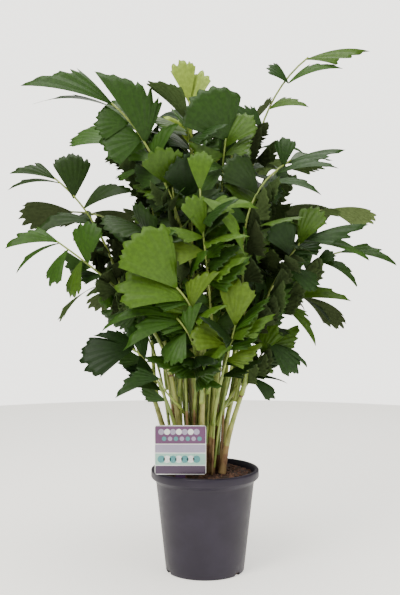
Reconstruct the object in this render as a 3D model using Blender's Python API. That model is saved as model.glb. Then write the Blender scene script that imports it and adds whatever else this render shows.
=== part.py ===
"""A potted clustering fishtail palm: nursery pot, soil, plant card, canes and fronds.

Metres, +Z up. The origin is the centre of the pot's flat underside, and the plant is seen from -Y.
Canes stand on the soil and fan out. Each frond is a rib that leaves a cane, with thin leaflets fused on.
"""

import math
import random
from typing import NamedTuple

import bmesh
import bpy
import numpy as np
from mathutils import Matrix, Vector
from mathutils.bvhtree import BVHTree

UP = Vector((0, 0, 1))
VIEWER = Vector((0, -1, 0))
GAP = 0.0003
SEED = 41

# Pot: a tapered wall under a flange rim, with drain notches round its foot.
POT_HEIGHT = 0.245
POT_FOOT_RADIUS = 0.0915
POT_WALL_RADIUS_LOW = 0.0935
POT_WALL_RADIUS_HIGH = 0.1165
POT_WALL = 0.0022
POT_FLOOR = 0.0030
RIM_RADIUS = 0.128
RIM_INNER_RADIUS = 0.1185
RIM_SKIRT_Z = 0.2265
RIM_STEP_Z = 0.2150
POT_SIDES = 32
NOTCH_ANGLES = (-36, 84, 204)
NOTCH_WIDTH = 0.018
NOTCH_HEIGHT = 0.008

# Soil: a plug that fills the pot and rises to a level top under the clump.
SOIL_EDGE_Z = 0.2310
SOIL_TOP_Z = 0.2370
SOIL_LEVEL_RADIUS = 0.094

# Plant card: a board above the rim, on a stake that stands on the soil.
CARD_Y = -0.0885
CARD_CENTRE_X = -0.0570
CARD_WIDTH = 0.118
CARD_TOP_Z = 0.3620
CARD_LOW_Z = 0.2480
CARD_FOOT_Z = 0.2400
CARD_OVER_RIM = 0.044
CARD_STAKE_WIDTH = 0.022
CARD_THICKNESS = 0.0010

# Canes: their feet stand on a sunflower spiral over an oval of soil.
CANE_COUNT = 16
CLUMP_X = -0.017
CLUMP_HALF_WIDTH = 0.069
CLUMP_HALF_DEPTH = 0.050
CLUMP_PHASE = math.radians(205)
GOLDEN_ANGLE = math.radians(137.508)
CANE_SPREAD = 1.78
CANE_TOP_Z = 0.560
CANE_OUTER_DROP = 0.130
CANE_BOW = 0.006
CANE_FOOT_RADIUS = 0.0084
CANE_TOP_RADIUS = 0.0056
CANE_SEGMENTS = 4

# Ribs: petiole and rachis in one, from a sheath on the cane to the last leaflet.
RIB_FOOT_RADIUS = 0.0046
RIB_TOP_RADIUS = 0.0049
TOP_COLLAR = 0.009
RIB_END_RADIUS = 0.0021
RIB_SEGMENTS = 5
END_SEAT_SHARE = 0.992
RIB_MARGIN = 0.0022
LEAVES_BELOW_VIA = 0.150
LOWEST_LEAVING_Z = 0.345
TIER_DROP = 0.034
SHEATH_LEAN = 0.22
SAMPLE_STEP = 0.004

# Leaflets
LEAFLET_ROOT = 0.0020
LEAFLET_NECK = 0.0016
LEAFLET_THICKNESS_SHARE = 0.0108
LEAFLET_LEAST_THICKNESS = 0.0010
LEAFLET_MARGIN = 0.0011
LEAFLET_DROOP = 34
SHORT_SIDE_REACH = 0.52
TOOTH_DEPTH = 0.10

GREENS = {
    "deep": (0.022, 0.075, 0.016),
    "mid": (0.050, 0.150, 0.026),
    "bright": (0.110, 0.260, 0.036),
    "new": (0.290, 0.430, 0.090),
}


class Leaflet(NamedTuple):
    """One leaflet by where its longest tip points, as seen from the front: 0 is up and 90 is +X."""

    share: float  # of the way along the rib
    bearing: float
    length: float
    spread: float  # degrees between its two straight sides
    tail: int = 1  # side of the long tip: 1 clockwise, -1 the other way, 0 the middle
    face: float = 35  # degrees that its upper side turns from the viewer to the sky
    toward: float = 8  # degrees that its tip comes out to the viewer
    droop: float = LEAFLET_DROOP


class Frond(NamedTuple):
    """One frond: its rib goes from a cane through `via` to `end`; `pairs` more leaflets follow a rule."""

    name: str
    via: tuple
    end: tuple
    green: str
    leaflets: tuple = ()
    pairs: int = 0
    size: float = 0.13


class Blade(NamedTuple):
    """A leaflet in space."""

    base: Vector
    along: Vector
    normal: Vector
    length: float
    spread: float
    tail: int
    droop: float


FRONT_FRONDS = (
    Frond("top_left", (-0.056, -0.12, 0.820), (-0.207, -0.14, 1.088), "mid", (
        Leaflet(1.00, -72, 0.222, 24, -1, 30),
        Leaflet(0.97, -83, 0.190, 14, -1, 72, 12),
        Leaflet(0.80, -27, 0.205, 44, -1, 12, 4),
        Leaflet(0.90, -78, 0.080, 60, 0, 15),
        Leaflet(0.82, -92, 0.098, 78, 0, 20, 12),
        Leaflet(0.72, 24, 0.120, 40, 1, 35),
    ), 1, 0.11),
    Frond("left_upper", (-0.243, -0.03, 0.797), (-0.350, -0.02, 0.929), "deep", (
        Leaflet(1.00, -76, 0.112, 30, -1, 35),
        Leaflet(0.97, -92, 0.126, 16, -1, 66, 10),
        Leaflet(0.88, -4, 0.120, 46, 0, 20, -6),
        Leaflet(0.82, 64, 0.142, 30, 1, 35, 10),
        Leaflet(0.76, -98, 0.150, 26, -1, 42, 14),
    ), 1, 0.11),
    Frond("left_middle", (-0.236, -0.10, 0.708), (-0.334, -0.11, 0.784), "mid", (
        Leaflet(1.00, -88, 0.124, 34, -1, 35),
        Leaflet(0.98, -118, 0.120, 14, -1, 62, 4),
        Leaflet(0.92, -152, 0.090, 34, 0, 40),
        Leaflet(0.82, -165, 0.088, 36, 0, 42),
        Leaflet(0.78, 18, 0.110, 46, 0, 28, 4),
        Leaflet(0.66, 176, 0.068, 40, 0, 45),
    )),
    Frond("left_front_high", (-0.011, -0.14, 0.563), (-0.064, -0.18, 0.684), "bright", (
        Leaflet(1.00, -36, 0.178, 48, 0, 14, 12),
        Leaflet(0.88, -75, 0.166, 34, 0, 32, 12),
        Leaflet(0.80, 30, 0.120, 40, 1, 30, 14),
    )),
    Frond("left_front_low", (-0.023, -0.13, 0.535), (-0.064, -0.17, 0.616), "mid", (
        Leaflet(1.00, -90, 0.182, 22, -1, 48, 10, 70),
        Leaflet(0.95, -106, 0.146, 34, -1, 30, 22),
        Leaflet(0.86, -150, 0.085, 50, 0, 35, 20),
        Leaflet(0.80, 12, 0.110, 36, 1, 25, 26),
    )),
    Frond("left_bottom", (-0.107, -0.08, 0.458), (-0.163, -0.13, 0.543), "deep", (
        Leaflet(1.00, -98, 0.128, 48, 0, 32, 16),
        Leaflet(0.94, -60, 0.110, 34, -1, 45, 4),
        Leaflet(0.88, 168, 0.060, 50, 0, 40, 18),
        Leaflet(0.80, -15, 0.100, 36, 0, 35, -4),
    )),
    Frond("left_lowest", (-0.080, -0.10, 0.430), (-0.104, -0.14, 0.478), "deep", (
        Leaflet(1.00, -106, 0.110, 40, -1, 24, 10),
    )),
    Frond("top_right", (0.106, 0.03, 0.915), (0.244, 0.05, 1.216), "mid", (
        Leaflet(1.00, 82, 0.155, 22, -1, 34, 6),
        Leaflet(0.90, 68, 0.137, 18, 1, 45, 8),
        Leaflet(0.90, -50, 0.072, 36, 0, 40, 10),
        Leaflet(0.80, 80, 0.100, 30, 1, 42, 10),
        Leaflet(0.74, -60, 0.120, 34, -1, 30, 10),
        Leaflet(0.68, 88, 0.113, 14, 1, 60, 6),
        Leaflet(0.60, 112, 0.095, 14, 1, 50, 10),
        Leaflet(0.56, -60, 0.075, 34, 0, 40, 10),
    ), 1, 0.10),
    Frond("right_upper", (0.084, -0.10, 0.760), (0.192, -0.04, 0.965), "deep", (
        Leaflet(1.00, 76, 0.146, 24, -1, 40, 6),
        Leaflet(0.97, 4, 0.078, 40, 0, 20, 0),
        Leaflet(0.93, 78, 0.150, 16, 1, 50, 12),
        Leaflet(0.88, 96, 0.130, 20, 1, 50, 16),
        Leaflet(0.82, -40, 0.120, 46, 0, 25, 12),
        Leaflet(0.70, -66, 0.125, 44, 0, 30, 16),
    ), 1, 0.11),
    Frond("right_middle", (0.150, -0.06, 0.671), (0.226, -0.06, 0.790), "mid", (
        Leaflet(1.00, 78, 0.158, 26, -1, 36, 6),
        Leaflet(0.97, 90, 0.172, 14, 1, 50, 12),
        Leaflet(0.95, 26, 0.110, 40, 0, 30, 2),
        Leaflet(0.88, -24, 0.100, 52, 0, 22, 10),
        Leaflet(0.80, 118, 0.098, 34, 0, 40, 14),
        Leaflet(0.64, -50, 0.110, 46, 0, 30, 14),
    )),
    Frond("right_low", (0.178, 0.02, 0.632), (0.322, 0.02, 0.757), "mid", (
        Leaflet(1.00, 96, 0.144, 24, 1, 44, 4),
        Leaflet(0.86, 118, 0.112, 22, 1, 36, 10, 64),
        Leaflet(0.82, 56, 0.060, 40, 0, 40, 6),
        Leaflet(0.76, -8, 0.085, 34, 0, 24, 6),
        Leaflet(0.56, 84, 0.172, 17, 1, 32, 10),
        Leaflet(0.53, 134, 0.128, 22, 1, 32, 8, 50),
    ), 0, 0.10),
    Frond("right_bottom", (0.118, -0.05, 0.500), (0.146, -0.06, 0.552), "mid", (
        Leaflet(1.00, 134, 0.098, 34, 0, 26, 8),
        Leaflet(0.97, 119, 0.112, 12, 1, 50, 8),
        Leaflet(0.84, 10, 0.095, 44, 0, 30, 10),
    )),
    Frond("right_lowest", (0.086, -0.03, 0.430), (0.104, -0.04, 0.468), "deep", (
        Leaflet(1.00, 128, 0.078, 26, 0, 34, 8),
        Leaflet(0.96, 103, 0.092, 10, 1, 60, 10),
    )),
    Frond("front_right", (0.044, -0.13, 0.505), (0.066, -0.17, 0.600), "bright", (
        Leaflet(0.90, 62, 0.115, 28, -1, 30, 8),
        Leaflet(1.00, 4, 0.120, 44, 0, 24, 10),
        Leaflet(0.82, -70, 0.105, 40, 0, 30, 14),
    )),
    Frond("front_centre", (0.004, -0.15, 0.721), (-0.012, -0.17, 0.900), "bright", (
        Leaflet(1.00, 2, 0.098, 34, 0, 16, 6),
        Leaflet(0.96, 136, 0.162, 18, 1, 24, 14, 44),
        Leaflet(0.88, 84, 0.130, 26, 1, 34, 10),
        Leaflet(0.78, -18, 0.105, 34, 0, 18, 10),
        Leaflet(0.70, -96, 0.115, 44, 0, 26, 14),
        Leaflet(0.60, 58, 0.110, 46, 0, 28, 12),
    )),
    Frond("top_centre", (0.038, -0.06, 0.880), (0.046, -0.09, 1.015), "mid", (
        Leaflet(1.00, -26, 0.140, 76, 0, 18, 8),
        Leaflet(0.96, 40, 0.105, 40, 0, 30, 6),
        Leaflet(0.86, -118, 0.100, 50, 0, 25, 14),
        Leaflet(0.80, 124, 0.095, 44, 0, 35, 10),
    )),
    Frond("new_leaf_left", (-0.030, 0.01, 0.960), (-0.038, 0.01, 1.110), "new", (
        Leaflet(1.00, -10, 0.112, 30, 0, 8, 0, 10),
        Leaflet(0.93, 14, 0.124, 22, 0, 30, -6, 10),
        Leaflet(0.80, -38, 0.110, 32, -1, 26, 6),
        Leaflet(0.72, -62, 0.150, 14, -1, 60, 6),
    )),
)

# The rest of the crown: rings of fronds, each by name, count, first and last bearing round the pot,
# reach, height of the end, rise of the middle, leaflet pairs and leaflet length.
CROWN_RINGS = (
    ("crown_top", 4, 30, 250, 0.105, 1.060, 0.010, 2, 0.122),
    ("crown_high", 5, 25, 155, 0.235, 0.990, 0.040, 3, 0.124),
    ("crown_back", 6, 15, 165, 0.315, 0.850, 0.050, 3, 0.128),
    ("crown_low", 5, 15, 165, 0.270, 0.660, 0.040, 2, 0.128),
    ("crown_inner", 2, 225, 315, 0.170, 0.800, 0.030, 3, 0.115),
)


def between(low, high, share):
    return low + (high - low) * share


def rounded_direction(azimuth):
    return Vector((math.cos(azimuth), math.sin(azimuth), 0))


def add_material(name, colour, roughness, metallic=0.0):
    material = bpy.data.materials.new(name)
    material.use_nodes = True
    shader = material.node_tree.nodes["Principled BSDF"]
    shader.inputs["Base Color"].default_value = (*colour, 1)
    shader.inputs["Roughness"].default_value = roughness
    shader.inputs["Metallic"].default_value = metallic
    return material


def add_object(name, mesh, material=None):
    new_object = bpy.data.objects.new(name, mesh)
    bpy.context.scene.collection.objects.link(new_object)
    if material:
        mesh.materials.clear()
        mesh.materials.append(material)
    return new_object


def mesh_from(bm, name):
    mesh = bpy.data.meshes.new(name)
    bmesh.ops.recalc_face_normals(bm, faces=bm.faces)
    bm.to_mesh(mesh)
    bm.free()
    return mesh


def turned_mesh(name, profile):
    """Turns (radius, height) points, which start and end on the axis, round Z."""
    bm = bmesh.new()
    points = [bm.verts.new((radius, 0, height)) for radius, height in profile]
    edges = [bm.edges.new(pair) for pair in zip(points, points[1:])]
    bmesh.ops.spin(bm, geom=points + edges, cent=(0, 0, 0), axis=UP, dvec=(0, 0, 0),
                   angle=math.tau, steps=POT_SIDES, use_merge=True, use_normal_flip=False,
                   use_duplicate=False)
    bmesh.ops.remove_doubles(bm, verts=bm.verts, dist=1e-6)
    return mesh_from(bm, name)


def inner_radius(height):
    """The radius of the pot's inner wall."""
    share = (height - POT_FLOOR) / (RIM_STEP_Z - POT_FLOOR)
    return between(POT_WALL_RADIUS_LOW, POT_WALL_RADIUS_HIGH, share) - POT_WALL


def make_pot(material):
    profile = (
        (0, 0),
        (POT_FOOT_RADIUS, 0),
        (POT_WALL_RADIUS_LOW, POT_FLOOR),
        (POT_WALL_RADIUS_HIGH, RIM_STEP_Z),
        (POT_WALL_RADIUS_HIGH + 0.0012, RIM_STEP_Z + 0.0006),
        (RIM_RADIUS - 0.0012, RIM_SKIRT_Z - 0.0010),
        (RIM_RADIUS, RIM_SKIRT_Z),
        (RIM_RADIUS, POT_HEIGHT - 0.0035),
        (RIM_RADIUS - 0.0028, POT_HEIGHT - 0.0004),
        (RIM_RADIUS - 0.0050, POT_HEIGHT),
        (RIM_INNER_RADIUS, POT_HEIGHT - 0.0022),
        (inner_radius(RIM_STEP_Z + 0.0120), RIM_STEP_Z + 0.0120),
        (inner_radius(POT_FLOOR), POT_FLOOR),
        (0, POT_FLOOR),
    )
    pot = add_object("pot", turned_mesh("pot", profile), material)
    notch_bm = bmesh.new()
    for angle in NOTCH_ANGLES:
        cube = bmesh.ops.create_cube(notch_bm, size=1)["verts"]
        bmesh.ops.scale(notch_bm, verts=cube, vec=(0.014, NOTCH_WIDTH, 2 * NOTCH_HEIGHT))
        bmesh.ops.translate(notch_bm, verts=cube, vec=(POT_FOOT_RADIUS + 0.0010, 0, 0))
        bmesh.ops.rotate(notch_bm, verts=cube, cent=(0, 0, 0),
                         matrix=Matrix.Rotation(math.radians(angle), 3, "Z"))
    notches = add_object("drain_notches", mesh_from(notch_bm, "drain_notches"))
    notches.hide_render = True
    notches.display_type = "WIRE"
    cut = pot.modifiers.new("Drain notches", "BOOLEAN")
    cut.operation = "DIFFERENCE"
    cut.object = notches
    return pot


def make_soil(material):
    floor_z = POT_FLOOR + GAP
    profile = (
        (0, floor_z),
        (inner_radius(floor_z) - 2 * GAP, floor_z),
        (inner_radius(SOIL_EDGE_Z) - 3 * GAP, SOIL_EDGE_Z),
        (SOIL_LEVEL_RADIUS, SOIL_TOP_Z),
        (0, SOIL_TOP_Z),
    )
    return add_object("soil", turned_mesh("soil", profile), material)


def make_card(material):
    """The card's outline is drawn once and given its thickness."""
    half = CARD_WIDTH / 2
    stake = CARD_STAKE_WIDTH / 2
    stake_foot_z = SOIL_TOP_Z + GAP
    outline = (
        (-half, CARD_TOP_Z), (-half, CARD_LOW_Z), (-half + CARD_OVER_RIM, CARD_LOW_Z),
        (-half + CARD_OVER_RIM + 0.009, CARD_FOOT_Z),
        (-stake, CARD_FOOT_Z), (-stake, stake_foot_z), (stake, stake_foot_z), (stake, CARD_FOOT_Z),
        (half, CARD_FOOT_Z), (half, CARD_TOP_Z),
    )
    bm = bmesh.new()
    face = bm.faces.new([bm.verts.new((CARD_CENTRE_X + x, CARD_Y, z)) for x, z in outline])
    back = bmesh.ops.extrude_face_region(bm, geom=[face])["geom"]
    back_points = [part for part in back if isinstance(part, bmesh.types.BMVert)]
    bmesh.ops.translate(bm, verts=back_points, vec=(0, CARD_THICKNESS, 0))
    return add_object("plant_card", mesh_from(bm, "plant_card"), material)


def tube_object(name, points, radii, resolution, material):
    """A round tube through the points, by way of a bevelled curve with filled ends."""
    curve = bpy.data.curves.new(name, "CURVE")
    curve.dimensions = "3D"
    curve.bevel_depth = 1.0
    curve.bevel_resolution = resolution
    curve.use_fill_caps = True
    spline = curve.splines.new("POLY")
    spline.points.add(len(points) - 1)
    for knot, point, radius in zip(spline.points, points, radii):
        knot.co = (*point, 1)
        knot.radius = radius
    curve_object = add_object(name + "_path", curve)
    bpy.context.view_layer.update()
    graph = bpy.context.evaluated_depsgraph_get()
    mesh = bpy.data.meshes.new_from_object(curve_object.evaluated_get(graph))
    bpy.data.objects.remove(curve_object)
    bm = bmesh.new()
    bm.from_mesh(mesh)
    bmesh.ops.remove_doubles(bm, verts=bm.verts, dist=1e-6)
    bpy.data.meshes.remove(mesh)
    return add_object(name, mesh_from(bm, name), material)


class Cane:
    """One cane, from its foot on the soil to the point where its last frond leaves it."""

    def __init__(self, index):
        share = math.sqrt((index + 0.5) / CANE_COUNT)
        angle = CLUMP_PHASE + index * GOLDEN_ANGLE
        out_x = CLUMP_HALF_WIDTH * share * math.cos(angle)
        out_y = CLUMP_HALF_DEPTH * share * math.sin(angle)
        drop = CANE_OUTER_DROP * share ** 2 + 0.022 * math.sin(5 * index)
        self.name = f"cane_{index + 1:02d}"
        self.foot = Vector((CLUMP_X + out_x, out_y, SOIL_TOP_Z + GAP))
        self.top = Vector((CLUMP_X + CANE_SPREAD * out_x, CANE_SPREAD * out_y, CANE_TOP_Z - drop))
        self.bow = Vector((out_x, out_y, 0)).normalized() * CANE_BOW
        self.fronds = 0

    def point(self, share):
        return self.foot.lerp(self.top, share) - self.bow * math.sin(math.pi * share)

    def radius(self, share):
        return between(CANE_FOOT_RADIUS, CANE_TOP_RADIUS, share)

    def direction(self, share):
        return (self.point(share + 0.01) - self.point(share - 0.01)).normalized()

    def share_at(self, height):
        return (height - self.foot.z) / (self.top.z - self.foot.z)

    def path(self):
        shares = [step / CANE_SEGMENTS for step in range(CANE_SEGMENTS + 1)]
        return [self.point(share) for share in shares], [self.radius(share) for share in shares]


def cut_level(mesh, cane):
    """Cuts the cane's foot level, by sliding the points of its lowest ring along the cane."""
    along = cane.direction(0.02)
    for vertex in mesh.vertices:
        if vertex.co.z < cane.foot.z + 2 * CANE_FOOT_RADIUS:
            vertex.co += along * (cane.foot.z - vertex.co.z) / along.z


def sampled(points, radii):
    """Close points along a tube, as an array, with the tube's radius at each."""
    rows = []
    for start, stop, start_radius, stop_radius in zip(points, points[1:], radii, radii[1:]):
        steps = max(1, math.ceil((stop - start).length / SAMPLE_STEP))
        for step in range(steps):
            share = step / steps
            rows.append((*start.lerp(stop, share), between(start_radius, stop_radius, share)))
    rows.append((*points[-1], radii[-1]))
    return np.array(rows)


def tubes_touch(first, second, margin):
    reach = first[:, None, 3] + second[None, :, 3] + margin
    offsets = first[:, None, :3] - second[None, :, :3]
    return bool(((offsets ** 2).sum(axis=2) < reach ** 2).any())


class Rib:
    """A smooth rib from a cane, through one point, to its end."""

    def __init__(self, foot, direction, collar, via, end, foot_radius):
        start = foot + direction * collar
        reach = (via - start).length
        self.foot = foot
        self.start = start
        self.end = end
        self.first_pull = start + direction * reach * 0.45
        # The second pull is the one that takes the curve through `via` at this share.
        share = reach / (reach + (end - via).length)
        rest = 1 - share
        known = start * rest ** 3 + self.first_pull * 3 * rest ** 2 * share + end * share ** 3
        self.second_pull = (via - known) / (3 * rest * share ** 2)
        self.foot_radius = foot_radius

    def point(self, share):
        rest = 1 - share
        return (self.start * rest ** 3 + self.first_pull * 3 * rest ** 2 * share
                + self.second_pull * 3 * rest * share ** 2 + self.end * share ** 3)

    def direction(self, share):
        return (self.point(share + 0.01) - self.point(share - 0.01)).normalized()

    def radius(self, share):
        return between(self.foot_radius, RIB_END_RADIUS, min(1, share * 1.25))

    def path(self):
        shares = [step / RIB_SEGMENTS for step in range(RIB_SEGMENTS + 1)]
        points = [self.point(share) for share in shares]
        radii = [self.radius(share) for share in shares]
        if self.foot != self.start:
            return [self.foot] + points, radii[:1] + radii
        return points, radii

    def seat(self, share):
        """A point on the axis of the straight stretches that the rib is made of."""
        place = min(share * RIB_SEGMENTS, RIB_SEGMENTS * END_SEAT_SHARE)
        step = min(int(place), RIB_SEGMENTS - 1)
        start, stop = self.point(step / RIB_SEGMENTS), self.point((step + 1) / RIB_SEGMENTS)
        return start.lerp(stop, place - step)


def shifts_by_size():
    """Ways to move a rib's middle clear of its neighbours, the smallest first."""
    yield Vector((0, 0, 0))
    for size in (0.010, 0.018, 0.028, 0.040):
        for x, y, z in ((0, 1, 0), (0, -1, 0), (0.6, 0.6, 0), (-0.6, -0.6, 0), (0.7, -0.5, 0.3),
                        (-0.7, 0.5, 0.3), (0, 0.4, -0.7), (0, -0.4, 0.7)):
            yield Vector((x, y, z)) * size


def rib_start(cane, via, turn):
    """Where a rib leaves its cane and in which direction: on from the top, or at a side lower down."""
    height = max(LOWEST_LEAVING_Z, via.z - LEAVES_BELOW_VIA)
    if cane.fronds == 0 and height > cane.top.z - 0.060:
        last, before = cane.point(1), cane.point(1 - 1 / CANE_SEGMENTS)
        direction = (last - before).normalized()
        return cane.top + direction * GAP, direction, TOP_COLLAR, RIB_TOP_RADIUS
    height = min(height, cane.top.z - 0.020) - TIER_DROP * max(0, cane.fronds - 1)
    height = max(LOWEST_LEAVING_Z, height)
    share = cane.share_at(height)
    along = cane.direction(share)
    out = via - cane.point(share)
    out = (out - along * out.dot(along)).normalized()
    out.rotate(Matrix.Rotation(turn, 3, along))
    offset = cane.radius(share) + RIB_FOOT_RADIUS + GAP
    start = cane.point(share) + out * offset
    return start, (along + out * SHEATH_LEAN).normalized(), 0.0, RIB_FOOT_RADIUS


def place_rib(frond, canes, tubes):
    """The rib of a frond, on the nearest cane with room, clear of every tube that is there."""
    via, end = Vector(frond.via), Vector(frond.end)

    def cost(cane):
        reach = (cane.top - via).to_2d().length
        return reach + 0.035 * cane.fronds

    for cane in sorted(canes, key=cost)[:9]:
        others = [rows for name, rows in tubes if name != cane.name]
        own = [rows for name, rows in tubes if name == cane.name]
        for shift in shifts_by_size():
            for turn in (0, 0.6, -0.6, 1.2, -1.2):
                foot, direction, collar, radius = rib_start(cane, via, turn)
                rib = Rib(foot, direction, collar, via + shift, end, radius)
                rows = sampled(*rib.path())
                if any(tubes_touch(rows, other, RIB_MARGIN) for other in others):
                    continue
                if not collar and any(tubes_touch(rows[1:], mine, GAP / 2) for mine in own):
                    continue
                cane.fronds += 1
                tubes.append((frond.name, rows))
                return rib
    raise RuntimeError(f"no clear way for the rib of {frond.name}")


def crown_fronds():
    """The fronds that follow the ring rule, round the back, the sides and the heart of the crown."""
    rng = random.Random(SEED)
    for name, count, first, last, reach, height, rise, pairs, size in CROWN_RINGS:
        for index in range(count):
            azimuth = math.radians(between(first, last, index / (count - 1)) + rng.uniform(-7, 7))
            out = reach * rng.uniform(0.88, 1.10)
            end = rounded_direction(azimuth) * out + UP * height * rng.uniform(0.97, 1.03)
            end.x += CLUMP_X * 0.5
            via = Vector((end.x * 0.52, end.y * 0.52, 0))
            via.z = between(CANE_TOP_Z, end.z, 0.58) + rise
            green = rng.choice(("deep", "mid", "mid", "deep", "bright"))
            yield Frond(f"{name}_{index + 1}", tuple(via), tuple(end), green, (), pairs, size)


def blade_of(leaflet, rib):
    """A leaflet of the front fronds, from the bearing and length that it shows from the front."""
    bearing = math.radians(leaflet.bearing)
    toward = math.radians(leaflet.toward)
    tip = Vector((math.sin(bearing) * math.cos(toward), -math.sin(toward),
                  math.cos(bearing) * math.cos(toward)))
    front = (VIEWER - tip * VIEWER.dot(tip)).normalized()
    above = tip.cross(front)
    if above.z < 0:
        above.negate()
    face = math.radians(leaflet.face)
    normal = front * math.cos(face) + above * math.sin(face)
    spread = math.radians(leaflet.spread)
    along = Matrix.Rotation(leaflet.tail * spread / 2, 3, normal) @ tip
    return Blade(rib.seat(leaflet.share), along, normal, leaflet.length, spread, leaflet.tail,
                 math.radians(leaflet.droop))


def ruled_blades(frond, rib, rng):
    """Leaflets by the rule: an end leaflet, if the frond has none yet, and pairs below it."""
    if not frond.leaflets:
        yield rule_blade(frond, rib, 1.0, 0, rng)
    first = 0.42 if frond.leaflets else 0.56
    last = 0.62 if frond.leaflets else 0.93
    for pair in range(frond.pairs):
        share = between(last, first, pair / max(1, frond.pairs - 1))
        for side in (1, -1):
            yield rule_blade(frond, rib, share + 0.018 * side, side, rng)


def rule_blade(frond, rib, share, side, rng):
    """One leaflet at the side (1 or -1) or the end (0) of a rib, its upper face turned up and out."""
    stem = rib.direction(share)
    out = Vector((rib.end.x - rib.start.x, rib.end.y - rib.start.y, 0)).normalized()
    across = out.cross(UP)
    angle = math.radians(rng.uniform(48, 70)) * side
    hang = out * rng.uniform(0.15, 0.45) - UP * rng.uniform(0.15, 0.50)
    along = (stem * math.cos(angle) + across * math.sin(angle) + hang).normalized()
    lift = UP * rng.uniform(0.30, 0.80) + out * 0.80
    normal = (lift - along * lift.dot(along)).normalized()
    normal = Matrix.Rotation(math.radians(rng.uniform(-28, 28)), 3, along) @ normal
    length = frond.size * rng.uniform(0.86, 1.16) * (1.12 if side == 0 else 1)
    spread = math.radians(rng.uniform(30, 46) if side else rng.uniform(44, 58))
    return Blade(rib.seat(share), along, normal, length, spread, side,
                 math.radians(rng.uniform(24, 50)))


def reach_share(across, tail):
    """How far the ragged end of a leaflet reaches, over its width from -1 to 1."""
    if tail:
        toward_tail = (1 + across * tail) / 2
        reach = between(SHORT_SIDE_REACH, 1, toward_tail ** 1.3)
    else:
        reach = 1 - 0.20 * abs(across) ** 1.6
    return reach - TOOTH_DEPTH * abs(math.sin(math.pi * (across + 1))) * (0.6 + 0.4 * abs(across))


def blade_point(blade, across, along_share, lift=0.0):
    """A point of the blade's middle surface, arched along its length, lifted off it by `lift`."""
    reach = blade.length * reach_share(across, blade.tail) * along_share
    angle = across * blade.spread / 2
    forward = reach * math.cos(angle)
    sideways = reach * math.sin(angle) + LEAFLET_NECK * across * (1 - along_share)
    turned = blade.droop * (0.5 - forward / blade.length)
    half = blade.droop / 2
    scale = blade.length / blade.droop
    ahead = scale * (math.sin(half) - math.sin(turned))
    raised = scale * (math.cos(turned) - math.cos(half)) + lift
    side = blade.along.cross(blade.normal)
    return blade.base + blade.along * ahead + blade.normal * raised + side * sideways


def blade_thickness(blade):
    return max(LEAFLET_LEAST_THICKNESS, blade.length * LEAFLET_THICKNESS_SHARE)


# Rows of a blade, as shares of its length, with the places of their points across it.
BLADE_ROWS = ((0.0, (-1, 1)), (0.5, (-1, 0, 1)), (1.0, (-1, -0.5, 0, 0.5, 1)))
BLADE_FACES = ((0, 1, 3), (0, 3, 2), (1, 4, 3), (2, 3, 7), (2, 7, 6), (2, 6, 5),
               (3, 4, 7), (4, 8, 7), (4, 9, 8))


def blade_mesh(blade, first_share=None, margin=0.0):
    """A closed thin plate of three rows of points, which widen from the rib to the ragged end."""
    if first_share is None:
        first_share = -LEAFLET_ROOT / blade.length
    half = blade_thickness(blade) / 2 + margin
    wider = blade._replace(spread=blade.spread + 2 * margin / (0.6 * blade.length),
                           length=blade.length + margin)
    bm = bmesh.new()
    below = [bm.verts.new(blade_point(wider, across, share or first_share, -half))
             for share, places in BLADE_ROWS for across in places]
    faces = [bm.faces.new([below[corner] for corner in corners]) for corners in BLADE_FACES]
    top = bmesh.ops.extrude_face_region(bm, geom=faces)["geom"]
    top_points = [part for part in top if isinstance(part, bmesh.types.BMVert)]
    bmesh.ops.translate(bm, verts=top_points, vec=blade.normal * 2 * half)
    return mesh_from(bm, "blade")


def tree_of(mesh):
    points = [vertex.co for vertex in mesh.vertices]
    return BVHTree.FromPolygons(points, [face.vertices for face in mesh.polygons])


class Space:
    """What already stands in the crown: the search tree and the owner of every rib, cane and leaflet."""

    def __init__(self):
        self.rows = []

    def add(self, owner, mesh):
        low, high = mesh_box(mesh)
        self.rows.append((owner, low, high, tree_of(mesh)))

    def is_free(self, owner, mesh):
        low, high = mesh_box(mesh)
        tree = tree_of(mesh)
        for other, other_low, other_high, other_tree in self.rows:
            if other == owner:
                continue
            if all(low[axis] < other_high[axis] and other_low[axis] < high[axis] for axis in range(3)):
                if tree.overlap(other_tree):
                    return False
        return True


def mesh_box(mesh):
    rows = np.array([vertex.co for vertex in mesh.vertices])
    return rows.min(axis=0), rows.max(axis=0)


def variants(blade):
    """The blade as the rule gives it, then swung, rolled, lifted or shortened until it finds room."""
    yield blade
    for size in (10, 20, 32):
        for swing, roll, tilt, scale in ((1, 0, 0, 1.0), (-1, 0, 0, 1.0), (0, 1, 0, 1.0), (0, -1, 0, 1.0),
                                         (0, 0, 1, 1.0), (0, 0, -1, 1.0), (0.6, 0.8, 0, 0.90),
                                         (-0.6, -0.8, 0, 0.90), (0, 0.8, 0.8, 0.82),
                                         (0, -0.8, -0.8, 0.82)):
            angle = math.radians(size)
            side = blade.along.cross(blade.normal)
            turn = (Matrix.Rotation(swing * angle, 3, blade.normal)
                    @ Matrix.Rotation(roll * angle, 3, blade.along)
                    @ Matrix.Rotation(tilt * angle, 3, side))
            yield blade._replace(along=turn @ blade.along, normal=turn @ blade.normal,
                                 length=blade.length * scale)


def grow_leaflet(frond, blade, space, order):
    """Adds the blade where it has room, or leaves it out. Returns its object, or None."""
    for tried in variants(blade):
        wide = blade_mesh(tried, 0.14, LEAFLET_MARGIN)
        free = space.is_free(frond.name + "_rib", wide)
        bpy.data.meshes.remove(wide)
        if not free:
            continue
        outer = blade_mesh(tried, 0.14, 0.0)
        space.add(f"{frond.name}_leaflet_{order}", outer)
        bpy.data.meshes.remove(outer)
        return add_object(f"{frond.name}_leaflet_{order}", blade_mesh(tried))
    return None


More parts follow.
